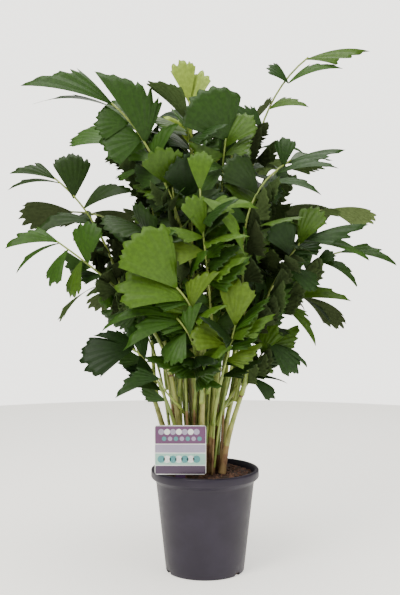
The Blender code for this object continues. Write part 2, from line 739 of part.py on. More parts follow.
def fuse(target, pieces):
    """Joins the pieces to the target with one Boolean union, and removes them."""
    group = bpy.data.collections.new(target.name + "_pieces")
    for piece in pieces:
        group.objects.link(piece)
    union = target.modifiers.new("Leaflets", "BOOLEAN")
    union.operation = "UNION"
    union.operand_type = "COLLECTION"
    union.collection = group
    bpy.context.view_layer.update()
    graph = bpy.context.evaluated_depsgraph_get()
    fused = bpy.data.meshes.new_from_object(target.evaluated_get(graph))
    target.modifiers.clear()
    target.data = fused
    for piece in pieces:
        bpy.data.objects.remove(piece)
    bpy.data.collections.remove(group)


def main():
    for old in list(bpy.data.objects):
        bpy.data.objects.remove(old)

    plastic = add_material("slate plastic", (0.045, 0.040, 0.058), 0.45)
    earth = add_material("potting soil", (0.030, 0.014, 0.009), 0.95)
    print_stock = add_material("plant card", (0.300, 0.340, 0.330), 0.35)
    sheath = add_material("cane sheath", (0.330, 0.360, 0.130), 0.55)
    greens = {name: add_material(f"{name} green", colour, 0.42) for name, colour in GREENS.items()}

    make_pot(plastic)
    make_soil(earth)
    make_card(print_stock)

    space = Space()
    tubes = []
    canes = [Cane(index) for index in range(CANE_COUNT)]
    for cane in canes:
        points, radii = cane.path()
        tube = tube_object(cane.name, points, radii, 1, sheath)
        cut_level(tube.data, cane)
        space.add(cane.name, tube.data)
        tubes.append((cane.name, sampled(points, radii)))

    fronds = list(FRONT_FRONDS) + list(crown_fronds())
    ribs = {}
    objects = {}
    for frond in fronds:
        rib = place_rib(frond, canes, tubes)
        ribs[frond.name] = rib
        objects[frond.name] = tube_object(frond.name, *rib.path(), 0, greens[frond.green])
        space.add(frond.name + "_rib", objects[frond.name].data)

    rng = random.Random(SEED)
    asked = 0
    grown = 0
    for frond in fronds:
        rib = ribs[frond.name]
        blades = [blade_of(leaflet, rib) for leaflet in frond.leaflets]
        blades += list(ruled_blades(frond, rib, rng))
        pieces = [grow_leaflet(frond, blade, space, order) for order, blade in enumerate(blades)]
        pieces = [piece for piece in pieces if piece]
        asked += len(blades)
        grown += len(pieces)
        fuse(objects[frond.name], pieces)
    print(f"{len(fronds)} fronds, {grown} of {asked} leaflets")


main()
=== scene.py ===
"""A potted clustering fishtail palm, dressed for its portrait, in cells that can be read one by one."""

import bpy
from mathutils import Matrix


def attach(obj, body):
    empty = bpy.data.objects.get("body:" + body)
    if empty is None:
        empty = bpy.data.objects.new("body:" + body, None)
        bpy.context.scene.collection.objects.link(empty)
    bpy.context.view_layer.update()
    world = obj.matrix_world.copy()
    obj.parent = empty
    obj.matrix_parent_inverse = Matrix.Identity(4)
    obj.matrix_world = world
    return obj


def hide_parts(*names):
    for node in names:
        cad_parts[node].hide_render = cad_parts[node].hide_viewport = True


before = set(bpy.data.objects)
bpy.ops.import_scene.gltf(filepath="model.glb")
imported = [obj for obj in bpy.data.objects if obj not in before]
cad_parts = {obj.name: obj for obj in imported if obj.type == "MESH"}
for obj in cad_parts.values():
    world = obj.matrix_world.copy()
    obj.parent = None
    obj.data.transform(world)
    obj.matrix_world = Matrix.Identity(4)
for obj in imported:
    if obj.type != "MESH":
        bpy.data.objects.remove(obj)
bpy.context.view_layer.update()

import math
import random
from typing import NamedTuple

import bmesh
import bpy
import numpy as np
from mathutils import Matrix, Vector, noise
from mathutils.bvhtree import BVHTree

# %% [markdown]
# The camera comes first. Its place and lens were worked out from known heights, so the plant falls on
# the picture where the photograph has it. A guess by eye would need many tries.

# %% Camera
CAMERA_PLACE = (-0.012, -2.645, 0.822)
CAMERA_PITCH = -3.72
CAMERA_LENS = 68.16
SENSOR_WIDTH = 36


def linked(name, data):
    """A new object in the scene, which carries the data."""
    carrier = bpy.data.objects.new(name, data)
    bpy.context.scene.collection.objects.link(carrier)
    return carrier


def camera_at(place, pitch, lens):
    data = bpy.data.cameras.new("camera")
    data.lens = lens
    data.sensor_width = SENSOR_WIDTH
    camera = linked("camera", data)
    camera.location = place
    camera.rotation_euler = (math.radians(90 + pitch), 0, 0)
    bpy.context.scene.camera = camera


camera_at(CAMERA_PLACE, CAMERA_PITCH, CAMERA_LENS)
print("camera set")

# %% [markdown]
# Materials are graphs of nodes. Each node could be added and linked by hand, at three lines a link.
# A small class gives a node's output the usual operators instead, so that a formula reads as one,
# and one method adds any other node from its type, its settings and its sockets.

# %% Shader values
class Value:
    """A shader output that can be added, subtracted, multiplied and held between two limits."""

    def __init__(self, graph, socket):
        self.graph = graph
        self.socket = socket

    def __add__(self, other):
        return self.graph.maths("ADD", self, other)

    def __radd__(self, other):
        return self.graph.maths("ADD", other, self)

    def __sub__(self, other):
        return self.graph.maths("SUBTRACT", self, other)

    def __rsub__(self, other):
        return self.graph.maths("SUBTRACT", other, self)

    def __mul__(self, other):
        return self.graph.maths("MULTIPLY", self, other)

    def __rmul__(self, other):
        return self.graph.maths("MULTIPLY", other, self)

    def between(self, low, high):
        """0 below `low`, 1 above `high`, and smooth between them."""
        return self.graph.node("ShaderNodeMapRange", {"interpolation_type": "SMOOTHSTEP"},
                               {"Value": self, "From Min": low, "From Max": high})


class Graph:
    """The nodes of one material or of the studio."""

    def __init__(self, tree):
        self.tree = tree

    def join(self, value, socket):
        if isinstance(value, Value):
            self.tree.links.new(value.socket, socket)
        else:
            socket.default_value = value

    def node(self, kind, settings, sockets, output=0):
        """Adds one node: its settings first, then the values or links of its sockets."""
        added = self.tree.nodes.new(kind)
        for key, value in settings.items():
            setattr(added, key, value)
        for key, value in sockets.items():
            self.join(value, added.inputs[key])
        return Value(self, added.outputs[output])

    def maths(self, operation, first, second):
        return self.node("ShaderNodeMath", {"operation": operation}, {0: first, 1: second})


print("shader values ready")

# %% [markdown]
# A finish is one material with its shader. Mottle is a cloudy noise on the object's own coordinates, so
# it stays with the piece from every side. A bump turns the same kind of noise into fine relief.

# %% Finish
MIX_COLOURS = (6, 7)
MIX_COLOUR_OUT = 2


class Finish(Graph):
    """A material under construction."""

    def __init__(self, name, colour, roughness, coat=0.0, specular=0.5):
        self.material = bpy.data.materials.new(name)
        self.material.use_nodes = True
        super().__init__(self.material.node_tree)
        self.shader = self.tree.nodes["Principled BSDF"]
        self.put("Base Color", (*colour, 1))
        self.put("Roughness", roughness)
        self.put("Coat Weight", coat)
        self.put("Specular IOR Level", specular)

    def put(self, name, value):
        self.join(value, self.shader.inputs[name])

    def mottle(self, scale, detail=3.0):
        place = self.node("ShaderNodeTexCoord", {}, {}, "Object")
        return self.node("ShaderNodeTexNoise", {}, {"Vector": place, "Scale": scale, "Detail": detail})

    def mix(self, amount, first, second):
        """A colour between two others. A Mix node keeps its colours in two of its later sockets."""
        sockets = {"Factor": amount, MIX_COLOURS[0]: (*first, 1), MIX_COLOURS[1]: (*second, 1)}
        return self.node("ShaderNodeMix", {"data_type": "RGBA"}, sockets, MIX_COLOUR_OUT)

    def bump(self, height, distance, strength=1.0):
        sockets = {"Height": height, "Distance": distance, "Strength": strength}
        self.put("Normal", self.node("ShaderNodeBump", {}, sockets))


print("finish ready")

# %% [markdown]
# Each finish starts from one colour, and a mottle shifts it a little, because no leaf or pot is one
# flat colour. One green with a strong pattern would look blotchy. So the greens are several tones of
# each, dealt out whole, leaflet by leaflet, and the undersides are paler and duller than the tops.

# %% Finishes
def mottled(name, colour, other, roughness, scale, bump=0.0, coat=0.0, specular=0.5):
    finish = Finish(name, colour, roughness, coat, specular)
    grain = finish.mottle(scale)
    finish.put("Base Color", finish.mix(grain.between(0.35, 0.65), colour, other))
    finish.put("Roughness", grain * 0.16 + (roughness - 0.08))
    if bump:
        finish.bump(finish.mottle(scale * 6, 4.0), bump)
    return finish.material


def shaded(colour, factor):
    return tuple(part * factor for part in colour)


TONES = {
    "deep_dark": (0.009, 0.026, 0.004),
    "deep": (0.015, 0.038, 0.004),
    "deep_cool": (0.016, 0.046, 0.006),
    "mid_dark": (0.020, 0.056, 0.005),
    "mid": (0.030, 0.082, 0.006),
    "mid_warm": (0.048, 0.105, 0.008),
    "bright": (0.062, 0.132, 0.010),
    "bright_warm": (0.086, 0.152, 0.013),
    "new": (0.260, 0.370, 0.050),
}
TONES_OF = {
    "deep": ("deep_dark", "deep", "deep", "deep_cool"),
    "mid": ("mid_dark", "mid", "mid", "mid_warm", "deep_cool"),
    "bright": ("mid_warm", "bright", "bright_warm", "bright"),
    "new": ("new",),
}


LEAF_GRAIN = 120
UNDERSIDE_LIFT = (0.030, 0.034, 0.015)


def underside(colour):
    grey = sum(colour) / 3
    return tuple(part * 0.6 + grey * 0.4 + lift for part, lift in zip(colour, UNDERSIDE_LIFT))


def leaf_top(tone):
    colour = TONES[tone]
    return mottled(f"leaf {tone}", colour, shaded(colour, 0.78), 0.47, LEAF_GRAIN, 0.00015, specular=0.20)


def leaf_back(tone):
    colour = underside(TONES[tone])
    return mottled(f"leaf back {tone}", colour, shaded(colour, 0.8), 0.70, LEAF_GRAIN, specular=0.0)


leaf_tops = {tone: leaf_top(tone) for tone in TONES}
leaf_backs = {tone: leaf_back(tone) for tone in TONES}
rib_green = mottled("rib", (0.250, 0.310, 0.060), (0.150, 0.220, 0.034), 0.44, 40, 0.0002)
cane_skin = mottled("cane skin", (0.330, 0.320, 0.090), (0.200, 0.200, 0.048), 0.52, 45, 0.0004)
cane_young = mottled("cane young", (0.330, 0.360, 0.090), (0.220, 0.270, 0.052), 0.48, 45, 0.0003)
cane_foot = mottled("cane foot", (0.150, 0.070, 0.030), (0.270, 0.180, 0.070), 0.72, 40, 0.0006)
fibre = mottled("sheath fibre", (0.110, 0.066, 0.034), (0.200, 0.135, 0.070), 0.85, 160, 0.0006)
earth = mottled("potting soil", (0.022, 0.012, 0.009), (0.060, 0.032, 0.020), 0.95, 130, 0.0010)
bark = mottled("bark chips", (0.080, 0.034, 0.020), (0.150, 0.074, 0.044), 0.90, 90, 0.0008)
print(len(leaf_tops), "leaf tones")

# %% [markdown]
# Small functions shared by every piece. A mesh is built in place, so its object stays at the origin,
# where the export wants it. A round piece is a profile spun round the axis, and a leaf or a tube is
# a grid whose points are laid one by one, which keeps the faces in neat rows.

# %% Shapes
UP = Vector((0, 0, 1))
VIEWER = Vector((0, -1, 0))
GAP = 0.0003
SEED = 41


def between(low, high, share):
    return low + (high - low) * share


def rounded_direction(azimuth):
    return Vector((math.cos(azimuth), math.sin(azimuth), 0))


def mesh_from(bm, name):
    mesh = bpy.data.meshes.new(name)
    bmesh.ops.recalc_face_normals(bm, faces=bm.faces)
    bm.to_mesh(mesh)
    bm.free()
    return mesh


def show(name, mesh, materials, nodes, smooth=True):
    """Puts a finished mesh in the scene as a piece that stands for its nodes."""
    for material in materials:
        mesh.materials.append(material)
    if smooth:
        mesh.shade_smooth()
    piece = linked(name, mesh)
    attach(piece, "root")
    if nodes:
        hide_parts(*nodes)
    print(f"{name}: {len(mesh.polygons)} faces")
    return piece


def lay_grid(bm, columns, rows, place):
    """A grid of quads with each point laid at place(column, row); returns the points in rows."""
    grid = bmesh.ops.create_grid(bm, x_segments=columns, y_segments=rows, size=1)["verts"]
    for order, point in enumerate(grid):
        row, column = divmod(order, columns + 1)
        point.co = place(column, row)
    return grid


def spun(profile, sides):
    """Turns (radius, height) points, which start and end on the axis, round Z."""
    bm = bmesh.new()
    points = [bm.verts.new((radius, 0, height)) for radius, height in profile]
    edges = [bm.edges.new(pair) for pair in zip(points, points[1:])]
    bmesh.ops.spin(bm, geom=points + edges, cent=(0, 0, 0), axis=UP, dvec=(0, 0, 0),
                   angle=math.tau, steps=sides, use_merge=True, use_normal_flip=False,
                   use_duplicate=False)
    bmesh.ops.remove_doubles(bm, verts=bm.verts, dist=1e-6)
    return bm


print("shape tools ready")

# %% [markdown]
# The nursery pot is moulded plastic: a tapered wall, a rim with a skirt, and three drain notches in
# the foot. It could be a cylinder with loops scaled one by one. One profile turned round the axis is
# shorter, and more points at the lips give its soft highlights. A Boolean cuts the notches.

# %% Pot
POT_HEIGHT = 0.245
POT_FOOT_RADIUS = 0.0915
POT_WALL_RADIUS_LOW = 0.0935
POT_WALL_RADIUS_HIGH = 0.1165
POT_WALL = 0.0022
POT_FLOOR = 0.0030
RIM_RADIUS = 0.128
RIM_INNER_RADIUS = 0.1185
RIM_SKIRT_Z = 0.2265
RIM_STEP_Z = 0.2150
POT_STEPS = 144
POT_HOLLOW = 0.0022
NOTCH_DEPTH = 0.014
NOTCH_ANGLES = (-36, 84, 204)
NOTCH_WIDTH = 0.018
NOTCH_HEIGHT = 0.008


def inner_radius(height):
    """The radius of the pot's inner wall."""
    share = (height - POT_FLOOR) / (RIM_STEP_Z - POT_FLOOR)
    return between(POT_WALL_RADIUS_LOW, POT_WALL_RADIUS_HIGH, share) - POT_WALL


def rounded(corner, start, stop, steps=4):
    """Points of a short curve from start to stop that is drawn towards the corner."""
    for step in range(steps + 1):
        share = step / steps
        rest = 1 - share
        yield tuple(a * rest ** 2 + b * 2 * rest * share + c * share ** 2
                    for a, b, c in zip(start, corner, stop))


def make_pot():
    wall, rim, top = POT_WALL_RADIUS_HIGH, RIM_RADIUS, POT_HEIGHT
    profile = [(0, POT_HOLLOW), (POT_FOOT_RADIUS - 0.012, POT_HOLLOW), (POT_FOOT_RADIUS - 0.009, 0)]
    profile += rounded((POT_FOOT_RADIUS + 0.001, 0), (POT_FOOT_RADIUS - 0.0015, 0),
                       (POT_WALL_RADIUS_LOW, POT_FLOOR))
    profile += [(between(POT_WALL_RADIUS_LOW, wall, step / 8), between(POT_FLOOR, RIM_STEP_Z, step / 8))
                for step in range(1, 8)]
    profile += rounded((wall, RIM_STEP_Z), (wall - 0.0002, RIM_STEP_Z - 0.003),
                       (wall + 0.0022, RIM_STEP_Z + 0.0022))
    profile += rounded((rim, RIM_SKIRT_Z - 0.0012), (rim - 0.0022, RIM_SKIRT_Z - 0.0026),
                       (rim, RIM_SKIRT_Z + 0.0008))
    profile += rounded((rim, top - 0.0008), (rim, top - 0.0045), (rim - 0.0042, top - 0.0002))
    profile += rounded((RIM_INNER_RADIUS + 0.0008, top), (RIM_INNER_RADIUS + 0.0040, top),
                       (RIM_INNER_RADIUS - 0.0006, top - 0.0035))
    profile += [(inner_radius(RIM_STEP_Z + 0.0120), RIM_STEP_Z + 0.0120),
                (inner_radius(POT_FLOOR), POT_FLOOR + 0.0002), (0, POT_FLOOR + 0.0002)]
    return mesh_from(spun(profile, POT_STEPS), "pot")


def make_notch_cutter():
    bm = bmesh.new()
    for angle in NOTCH_ANGLES:
        cube = bmesh.ops.create_cube(bm, size=1)["verts"]
        turn = Matrix.Rotation(math.radians(angle), 3, "Z")
        bmesh.ops.scale(bm, verts=cube, vec=(NOTCH_DEPTH, NOTCH_WIDTH, 2 * NOTCH_HEIGHT))
        bmesh.ops.translate(bm, verts=cube, vec=(POT_FOOT_RADIUS + 0.0010, 0, 0))
        bmesh.ops.rotate(bm, verts=cube, cent=(0, 0, 0), matrix=turn)
    return linked("cutter", mesh_from(bm, "cutter"))


def evaluated_mesh(carrier):
    """The mesh that an object has after its modifiers or its bevel; the object is removed."""
    bpy.context.view_layer.update()
    seen = carrier.evaluated_get(bpy.context.evaluated_depsgraph_get())
    mesh = bpy.data.meshes.new_from_object(seen)
    bpy.data.objects.remove(carrier)
    return mesh


def applied(mesh, cutter):
    """The mesh with the cutter taken away from it."""
    carrier = linked("carrier", mesh)
    cut = carrier.modifiers.new("Notches", "BOOLEAN")
    cut.operation = "DIFFERENCE"
    cut.object = cutter
    result = evaluated_mesh(carrier)
    bpy.data.objects.remove(cutter)
    return result


def pot_finish():
    finish = Finish("slate plastic", (0.014, 0.010, 0.021), 0.50, specular=0.34)
    cloud = finish.mottle(14, 5.0).between(0.38, 0.68)
    finish.put("Base Color", finish.mix(cloud, (0.012, 0.008, 0.019), (0.018, 0.013, 0.027)))
    finish.put("Roughness", finish.mottle(60, 4.0) * 0.18 + 0.36)
    finish.bump(finish.mottle(420, 2.0), 0.00012, 0.7)
    return finish.material


pot_mesh = applied(make_pot(), make_notch_cutter())
pot_mesh.materials.clear()
show("pot_shell", pot_mesh, [pot_finish()], ["pot"])

# %% [markdown]
# The potting soil fills the pot to just below the rim, and loose bark lies on it. A bump map alone
# would leave it flat when seen from the side. So the soil is a plug whose top is lifted and lowered by
# noise, and the bark is a few hundred squashed grains of twenty faces each.

# %% Soil
SOIL_EDGE_Z = 0.2310
SOIL_TOP_Z = 0.2370
SOIL_LEVEL_RADIUS = 0.094
SOIL_GAP = 0.0008
SOIL_RINGS = 44
SOIL_STEPS = 120
CHIP_COUNT = 520


def make_soil():
    floor_z = POT_FLOOR + 2 * GAP
    edge = inner_radius(SOIL_EDGE_Z) - SOIL_GAP
    profile = [(0, floor_z), (inner_radius(floor_z) - SOIL_GAP, floor_z), (edge, SOIL_EDGE_Z - 0.002)]
    profile += [(between(edge, 0, step / SOIL_RINGS), between(SOIL_EDGE_Z, SOIL_TOP_Z, min(1, step / 8)))
                for step in range(1, SOIL_RINGS + 1)]
    bm = spun(profile, SOIL_STEPS)
    for point in bm.verts:
        if point.co.z > SOIL_EDGE_Z - 0.001:
            rough = noise.noise(point.co * 95) * 0.0022 + noise.noise(point.co * 260) * 0.0012
            point.co.z += rough - 0.0008
    return mesh_from(bm, "soil")


def make_chips(count):
    """Flat, turned and squashed grains of bark, sunk a little into the soil."""
    rng = random.Random(7)
    bm = bmesh.new()
    reach = inner_radius(SOIL_EDGE_Z) - 0.008
    for _ in range(count):
        azimuth = rng.uniform(0, math.tau)
        out = reach * math.sqrt(rng.random())
        size = rng.uniform(0.0016, 0.0052)
        grain = bmesh.ops.create_icosphere(bm, subdivisions=1, radius=size)["verts"]
        for point in grain:
            point.co *= rng.uniform(0.7, 1.15)
        squash = (rng.uniform(0.9, 1.7), rng.uniform(0.5, 0.9), rng.uniform(0.25, 0.5))
        bmesh.ops.scale(bm, verts=grain, vec=squash)
        heading = Matrix.Rotation(rng.uniform(0, math.tau), 3, "Z")
        turn = heading @ Matrix.Rotation(rng.uniform(-0.5, 0.5), 3, "X")
        bmesh.ops.rotate(bm, verts=grain, cent=(0, 0, 0), matrix=turn)
        height = between(SOIL_TOP_Z, SOIL_EDGE_Z, max(0, (out - SOIL_LEVEL_RADIUS) / 0.02))
        place = rounded_direction(azimuth) * out + UP * (height + size * 0.05)
        bmesh.ops.translate(bm, verts=grain, vec=place)
    return mesh_from(bm, "bark_chips")


show("soil_top", make_soil(), [earth], ["soil"])
show("bark_chips", make_chips(CHIP_COUNT), [bark], [], smooth=False)

# %% [markdown]
# The canes are the palm's thin green trunks, which stand close together in a clump. They could be
# placed one by one. Instead they follow the rule of the frame, with feet on a sunflower spiral and tops
# that spread outwards, so that sixteen canes come from a handful of named sizes.

# %% Canes in the frame
CANE_COUNT = 16
CLUMP_X = -0.017
CLUMP_HALF_WIDTH = 0.069
CLUMP_HALF_DEPTH = 0.050
CLUMP_PHASE = math.radians(205)
GOLDEN_ANGLE = math.radians(137.508)
CANE_SPREAD = 1.78
CANE_TOP_Z = 0.560
CANE_OUTER_DROP = 0.130
CANE_BOW = 0.006
CANE_FOOT_RADIUS = 0.0084
CANE_TOP_RADIUS = 0.0056
CANE_TOP_WAVE = 0.022
CANE_SEGMENTS = 4


class Stem:
    """Anything that runs along point(share), from 0 at its foot to 1 at its end."""

    def direction(self, share):
        return (self.point(share + 0.01) - self.point(share - 0.01)).normalized()


class Cane(Stem):
    """One cane, from its foot on the soil to the point where its last frond leaves it."""

    def __init__(self, index):
        share = math.sqrt((index + 0.5) / CANE_COUNT)
        angle = CLUMP_PHASE + index * GOLDEN_ANGLE
        out_x = CLUMP_HALF_WIDTH * share * math.cos(angle)
        out_y = CLUMP_HALF_DEPTH * share * math.sin(angle)
        drop = CANE_OUTER_DROP * share ** 2 + CANE_TOP_WAVE * math.sin(5 * index)
        self.name = f"cane_{index + 1:02d}"
        self.foot = Vector((CLUMP_X + out_x, out_y, SOIL_TOP_Z + GAP))
        self.top = Vector((CLUMP_X + CANE_SPREAD * out_x, CANE_SPREAD * out_y, CANE_TOP_Z - drop))
        self.bow = Vector((out_x, out_y, 0)).normalized() * CANE_BOW
        self.fronds = 0

    def point(self, share):
        return self.foot.lerp(self.top, share) - self.bow * math.sin(math.pi * share)

    def radius(self, share):
        return between(CANE_FOOT_RADIUS, CANE_TOP_RADIUS, share)

    def share_at(self, height):
        return (height - self.foot.z) / (self.top.z - self.foot.z)

    def path(self):
        shares = [step / CANE_SEGMENTS for step in range(CANE_SEGMENTS + 1)]
        return [self.point(share) for share in shares], [self.radius(share) for share in shares]


canes = [Cane(index) for index in range(CANE_COUNT)]
print(len(canes), "canes")

# %% [markdown]
# A frond is a rib with leaflets at both sides and one at its end, each shaped like a fish's tail. A
# record with named fields says where a rib bends and ends, and how each leaflet points. Plain tuples
# would be shorter, but nobody could read them.

# %% Kinds of record
RIB_FOOT_RADIUS = 0.0046
RIB_TOP_RADIUS = 0.0049
TOP_COLLAR = 0.009
RIB_END_RADIUS = 0.0021
RIB_SEGMENTS = 5
END_SEAT_SHARE = 0.992
RIB_MARGIN = 0.0022
LEAVES_BELOW_VIA = 0.150
LEAVES_NEAR_TOP = 0.060
LEAVES_BELOW_TOP = 0.020
CROWDED_CANE = 0.035
NEAREST_CANES = 9
RIB_TURNS = (0, 0.6, -0.6, 1.2, -1.2)
LOWEST_LEAVING_Z = 0.345
TIER_DROP = 0.034
SHEATH_LEAN = 0.22
SAMPLE_STEP = 0.004

LEAFLET_NECK = 0.0016
LEAFLET_THICKNESS_SHARE = 0.0108
LEAFLET_LEAST_THICKNESS = 0.0010
LEAFLET_MARGIN = 0.0011
LEAFLET_DROOP = 34
SHORT_SIDE_REACH = 0.52
TOOTH_DEPTH = 0.10


class Leaflet(NamedTuple):
    """One leaflet by where its longest tip points, as seen from the front: 0 is up and 90 is +X."""

    share: float  # of the way along the rib
    bearing: float
    length: float
    spread: float  # degrees between its two straight sides
    tail: int = 1  # side of the long tip: 1 clockwise, -1 the other way, 0 the middle
    face: float = 35  # degrees that its upper side turns from the viewer to the sky
    toward: float = 8  # degrees that its tip comes out to the viewer
    droop: float = LEAFLET_DROOP


class Frond(NamedTuple):
    """One frond: its rib goes from a cane through `via` to `end`; `pairs` more leaflets follow a rule."""

    name: str
    via: tuple
    end: tuple
    green: str
    leaflets: tuple = ()
    pairs: int = 0
    size: float = 0.13


class Blade(NamedTuple):
    """A leaflet in space."""

    base: Vector
    along: Vector
    normal: Vector
    length: float
    spread: float
    tail: int
    droop: float


print("fields of a frond:", *Frond._fields)

# %% [markdown]
# The fronds seen from the front are a table, leaflet by leaflet, read from the picture as bearings
# and lengths. The rest of the crown follows a ring rule. The tables are those of the frame, so the fine
# fronds fall where the plain ones stand.

# %% Fronds in the frame
FRONT_FRONDS = (
    Frond("top_left", (-0.056, -0.12, 0.820), (-0.207, -0.14, 1.088), "mid", (
        Leaflet(1.00, -72, 0.222, 24, -1, 30),
        Leaflet(0.97, -83, 0.190, 14, -1, 72, 12),
        Leaflet(0.80, -27, 0.205, 44, -1, 12, 4),
        Leaflet(0.90, -78, 0.080, 60, 0, 15),
        Leaflet(0.82, -92, 0.098, 78, 0, 20, 12),
        Leaflet(0.72, 24, 0.120, 40, 1, 35),
    ), 1, 0.11),
    Frond("left_upper", (-0.243, -0.03, 0.797), (-0.350, -0.02, 0.929), "deep", (
        Leaflet(1.00, -76, 0.112, 30, -1, 35),
        Leaflet(0.97, -92, 0.126, 16, -1, 66, 10),
        Leaflet(0.88, -4, 0.120, 46, 0, 20, -6),
        Leaflet(0.82, 64, 0.142, 30, 1, 35, 10),
        Leaflet(0.76, -98, 0.150, 26, -1, 42, 14),
    ), 1, 0.11),
    Frond("left_middle", (-0.236, -0.10, 0.708), (-0.334, -0.11, 0.784), "mid", (
        Leaflet(1.00, -88, 0.124, 34, -1, 35),
        Leaflet(0.98, -118, 0.120, 14, -1, 62, 4),
        Leaflet(0.92, -152, 0.090, 34, 0, 40),
        Leaflet(0.82, -165, 0.088, 36, 0, 42),
        Leaflet(0.78, 18, 0.110, 46, 0, 28, 4),
        Leaflet(0.66, 176, 0.068, 40, 0, 45),
    )),
    Frond("left_front_high", (-0.011, -0.14, 0.563), (-0.064, -0.18, 0.684), "bright", (
        Leaflet(1.00, -36, 0.178, 48, 0, 14, 12),
        Leaflet(0.88, -75, 0.166, 34, 0, 32, 12),
        Leaflet(0.80, 30, 0.120, 40, 1, 30, 14),
    )),
    Frond("left_front_low", (-0.023, -0.13, 0.535), (-0.064, -0.17, 0.616), "mid", (
        Leaflet(1.00, -90, 0.182, 22, -1, 48, 10, 70),
        Leaflet(0.95, -106, 0.146, 34, -1, 30, 22),
        Leaflet(0.86, -150, 0.085, 50, 0, 35, 20),
        Leaflet(0.80, 12, 0.110, 36, 1, 25, 26),
    )),
    Frond("left_bottom", (-0.107, -0.08, 0.458), (-0.163, -0.13, 0.543), "deep", (
        Leaflet(1.00, -98, 0.128, 48, 0, 32, 16),
        Leaflet(0.94, -60, 0.110, 34, -1, 45, 4),
        Leaflet(0.88, 168, 0.060, 50, 0, 40, 18),
        Leaflet(0.80, -15, 0.100, 36, 0, 35, -4),
    )),
    Frond("left_lowest", (-0.080, -0.10, 0.430), (-0.104, -0.14, 0.478), "deep", (
        Leaflet(1.00, -106, 0.110, 40, -1, 24, 10),
    )),
    Frond("top_right", (0.106, 0.03, 0.915), (0.244, 0.05, 1.216), "mid", (
        Leaflet(1.00, 82, 0.155, 22, -1, 34, 6),
        Leaflet(0.90, 68, 0.137, 18, 1, 45, 8),
        Leaflet(0.90, -50, 0.072, 36, 0, 40, 10),
        Leaflet(0.80, 80, 0.100, 30, 1, 42, 10),
        Leaflet(0.74, -60, 0.120, 34, -1, 30, 10),
        Leaflet(0.68, 88, 0.113, 14, 1, 60, 6),
        Leaflet(0.60, 112, 0.095, 14, 1, 50, 10),
        Leaflet(0.56, -60, 0.075, 34, 0, 40, 10),
    ), 1, 0.10),
    Frond("right_upper", (0.084, -0.10, 0.760), (0.192, -0.04, 0.965), "deep", (
        Leaflet(1.00, 76, 0.146, 24, -1, 40, 6),
        Leaflet(0.97, 4, 0.078, 40, 0, 20, 0),
        Leaflet(0.93, 78, 0.150, 16, 1, 50, 12),
        Leaflet(0.88, 96, 0.130, 20, 1, 50, 16),
        Leaflet(0.82, -40, 0.120, 46, 0, 25, 12),
        Leaflet(0.70, -66, 0.125, 44, 0, 30, 16),
    ), 1, 0.11),
    Frond("right_middle", (0.150, -0.06, 0.671), (0.226, -0.06, 0.790), "mid", (
        Leaflet(1.00, 78, 0.158, 26, -1, 36, 6),
        Leaflet(0.97, 90, 0.172, 14, 1, 50, 12),
        Leaflet(0.95, 26, 0.110, 40, 0, 30, 2),
        Leaflet(0.88, -24, 0.100, 52, 0, 22, 10),
        Leaflet(0.80, 118, 0.098, 34, 0, 40, 14),
        Leaflet(0.64, -50, 0.110, 46, 0, 30, 14),
    )),
    Frond("right_low", (0.178, 0.02, 0.632), (0.322, 0.02, 0.757), "mid", (
        Leaflet(1.00, 96, 0.144, 24, 1, 44, 4),
        Leaflet(0.86, 118, 0.112, 22, 1, 36, 10, 64),
        Leaflet(0.82, 56, 0.060, 40, 0, 40, 6),
        Leaflet(0.76, -8, 0.085, 34, 0, 24, 6),
        Leaflet(0.56, 84, 0.172, 17, 1, 32, 10),
        Leaflet(0.53, 134, 0.128, 22, 1, 32, 8, 50),
    ), 0, 0.10),
    Frond("right_bottom", (0.118, -0.05, 0.500), (0.146, -0.06, 0.552), "mid", (
        Leaflet(1.00, 134, 0.098, 34, 0, 26, 8),
        Leaflet(0.97, 119, 0.112, 12, 1, 50, 8),
        Leaflet(0.84, 10, 0.095, 44, 0, 30, 10),
    )),
    Frond("right_lowest", (0.086, -0.03, 0.430), (0.104, -0.04, 0.468), "deep", (
        Leaflet(1.00, 128, 0.078, 26, 0, 34, 8),
        Leaflet(0.96, 103, 0.092, 10, 1, 60, 10),
    )),
    Frond("front_right", (0.044, -0.13, 0.505), (0.066, -0.17, 0.600), "bright", (
        Leaflet(0.90, 62, 0.115, 28, -1, 30, 8),
        Leaflet(1.00, 4, 0.120, 44, 0, 24, 10),
        Leaflet(0.82, -70, 0.105, 40, 0, 30, 14),
    )),
    Frond("front_centre", (0.004, -0.15, 0.721), (-0.012, -0.17, 0.900), "bright", (
        Leaflet(1.00, 2, 0.098, 34, 0, 16, 6),
        Leaflet(0.96, 136, 0.162, 18, 1, 24, 14, 44),
        Leaflet(0.88, 84, 0.130, 26, 1, 34, 10),
        Leaflet(0.78, -18, 0.105, 34, 0, 18, 10),
        Leaflet(0.70, -96, 0.115, 44, 0, 26, 14),
        Leaflet(0.60, 58, 0.110, 46, 0, 28, 12),
    )),
    Frond("top_centre", (0.038, -0.06, 0.880), (0.046, -0.09, 1.015), "mid", (
        Leaflet(1.00, -26, 0.140, 76, 0, 18, 8),
        Leaflet(0.96, 40, 0.105, 40, 0, 30, 6),
        Leaflet(0.86, -118, 0.100, 50, 0, 25, 14),
        Leaflet(0.80, 124, 0.095, 44, 0, 35, 10),
    )),
    Frond("new_leaf_left", (-0.030, 0.01, 0.960), (-0.038, 0.01, 1.110), "new", (
        Leaflet(1.00, -10, 0.112, 30, 0, 8, 0, 10),
        Leaflet(0.93, 14, 0.124, 22, 0, 30, -6, 10),
        Leaflet(0.80, -38, 0.110, 32, -1, 26, 6),
        Leaflet(0.72, -62, 0.150, 14, -1, 60, 6),
    )),
)

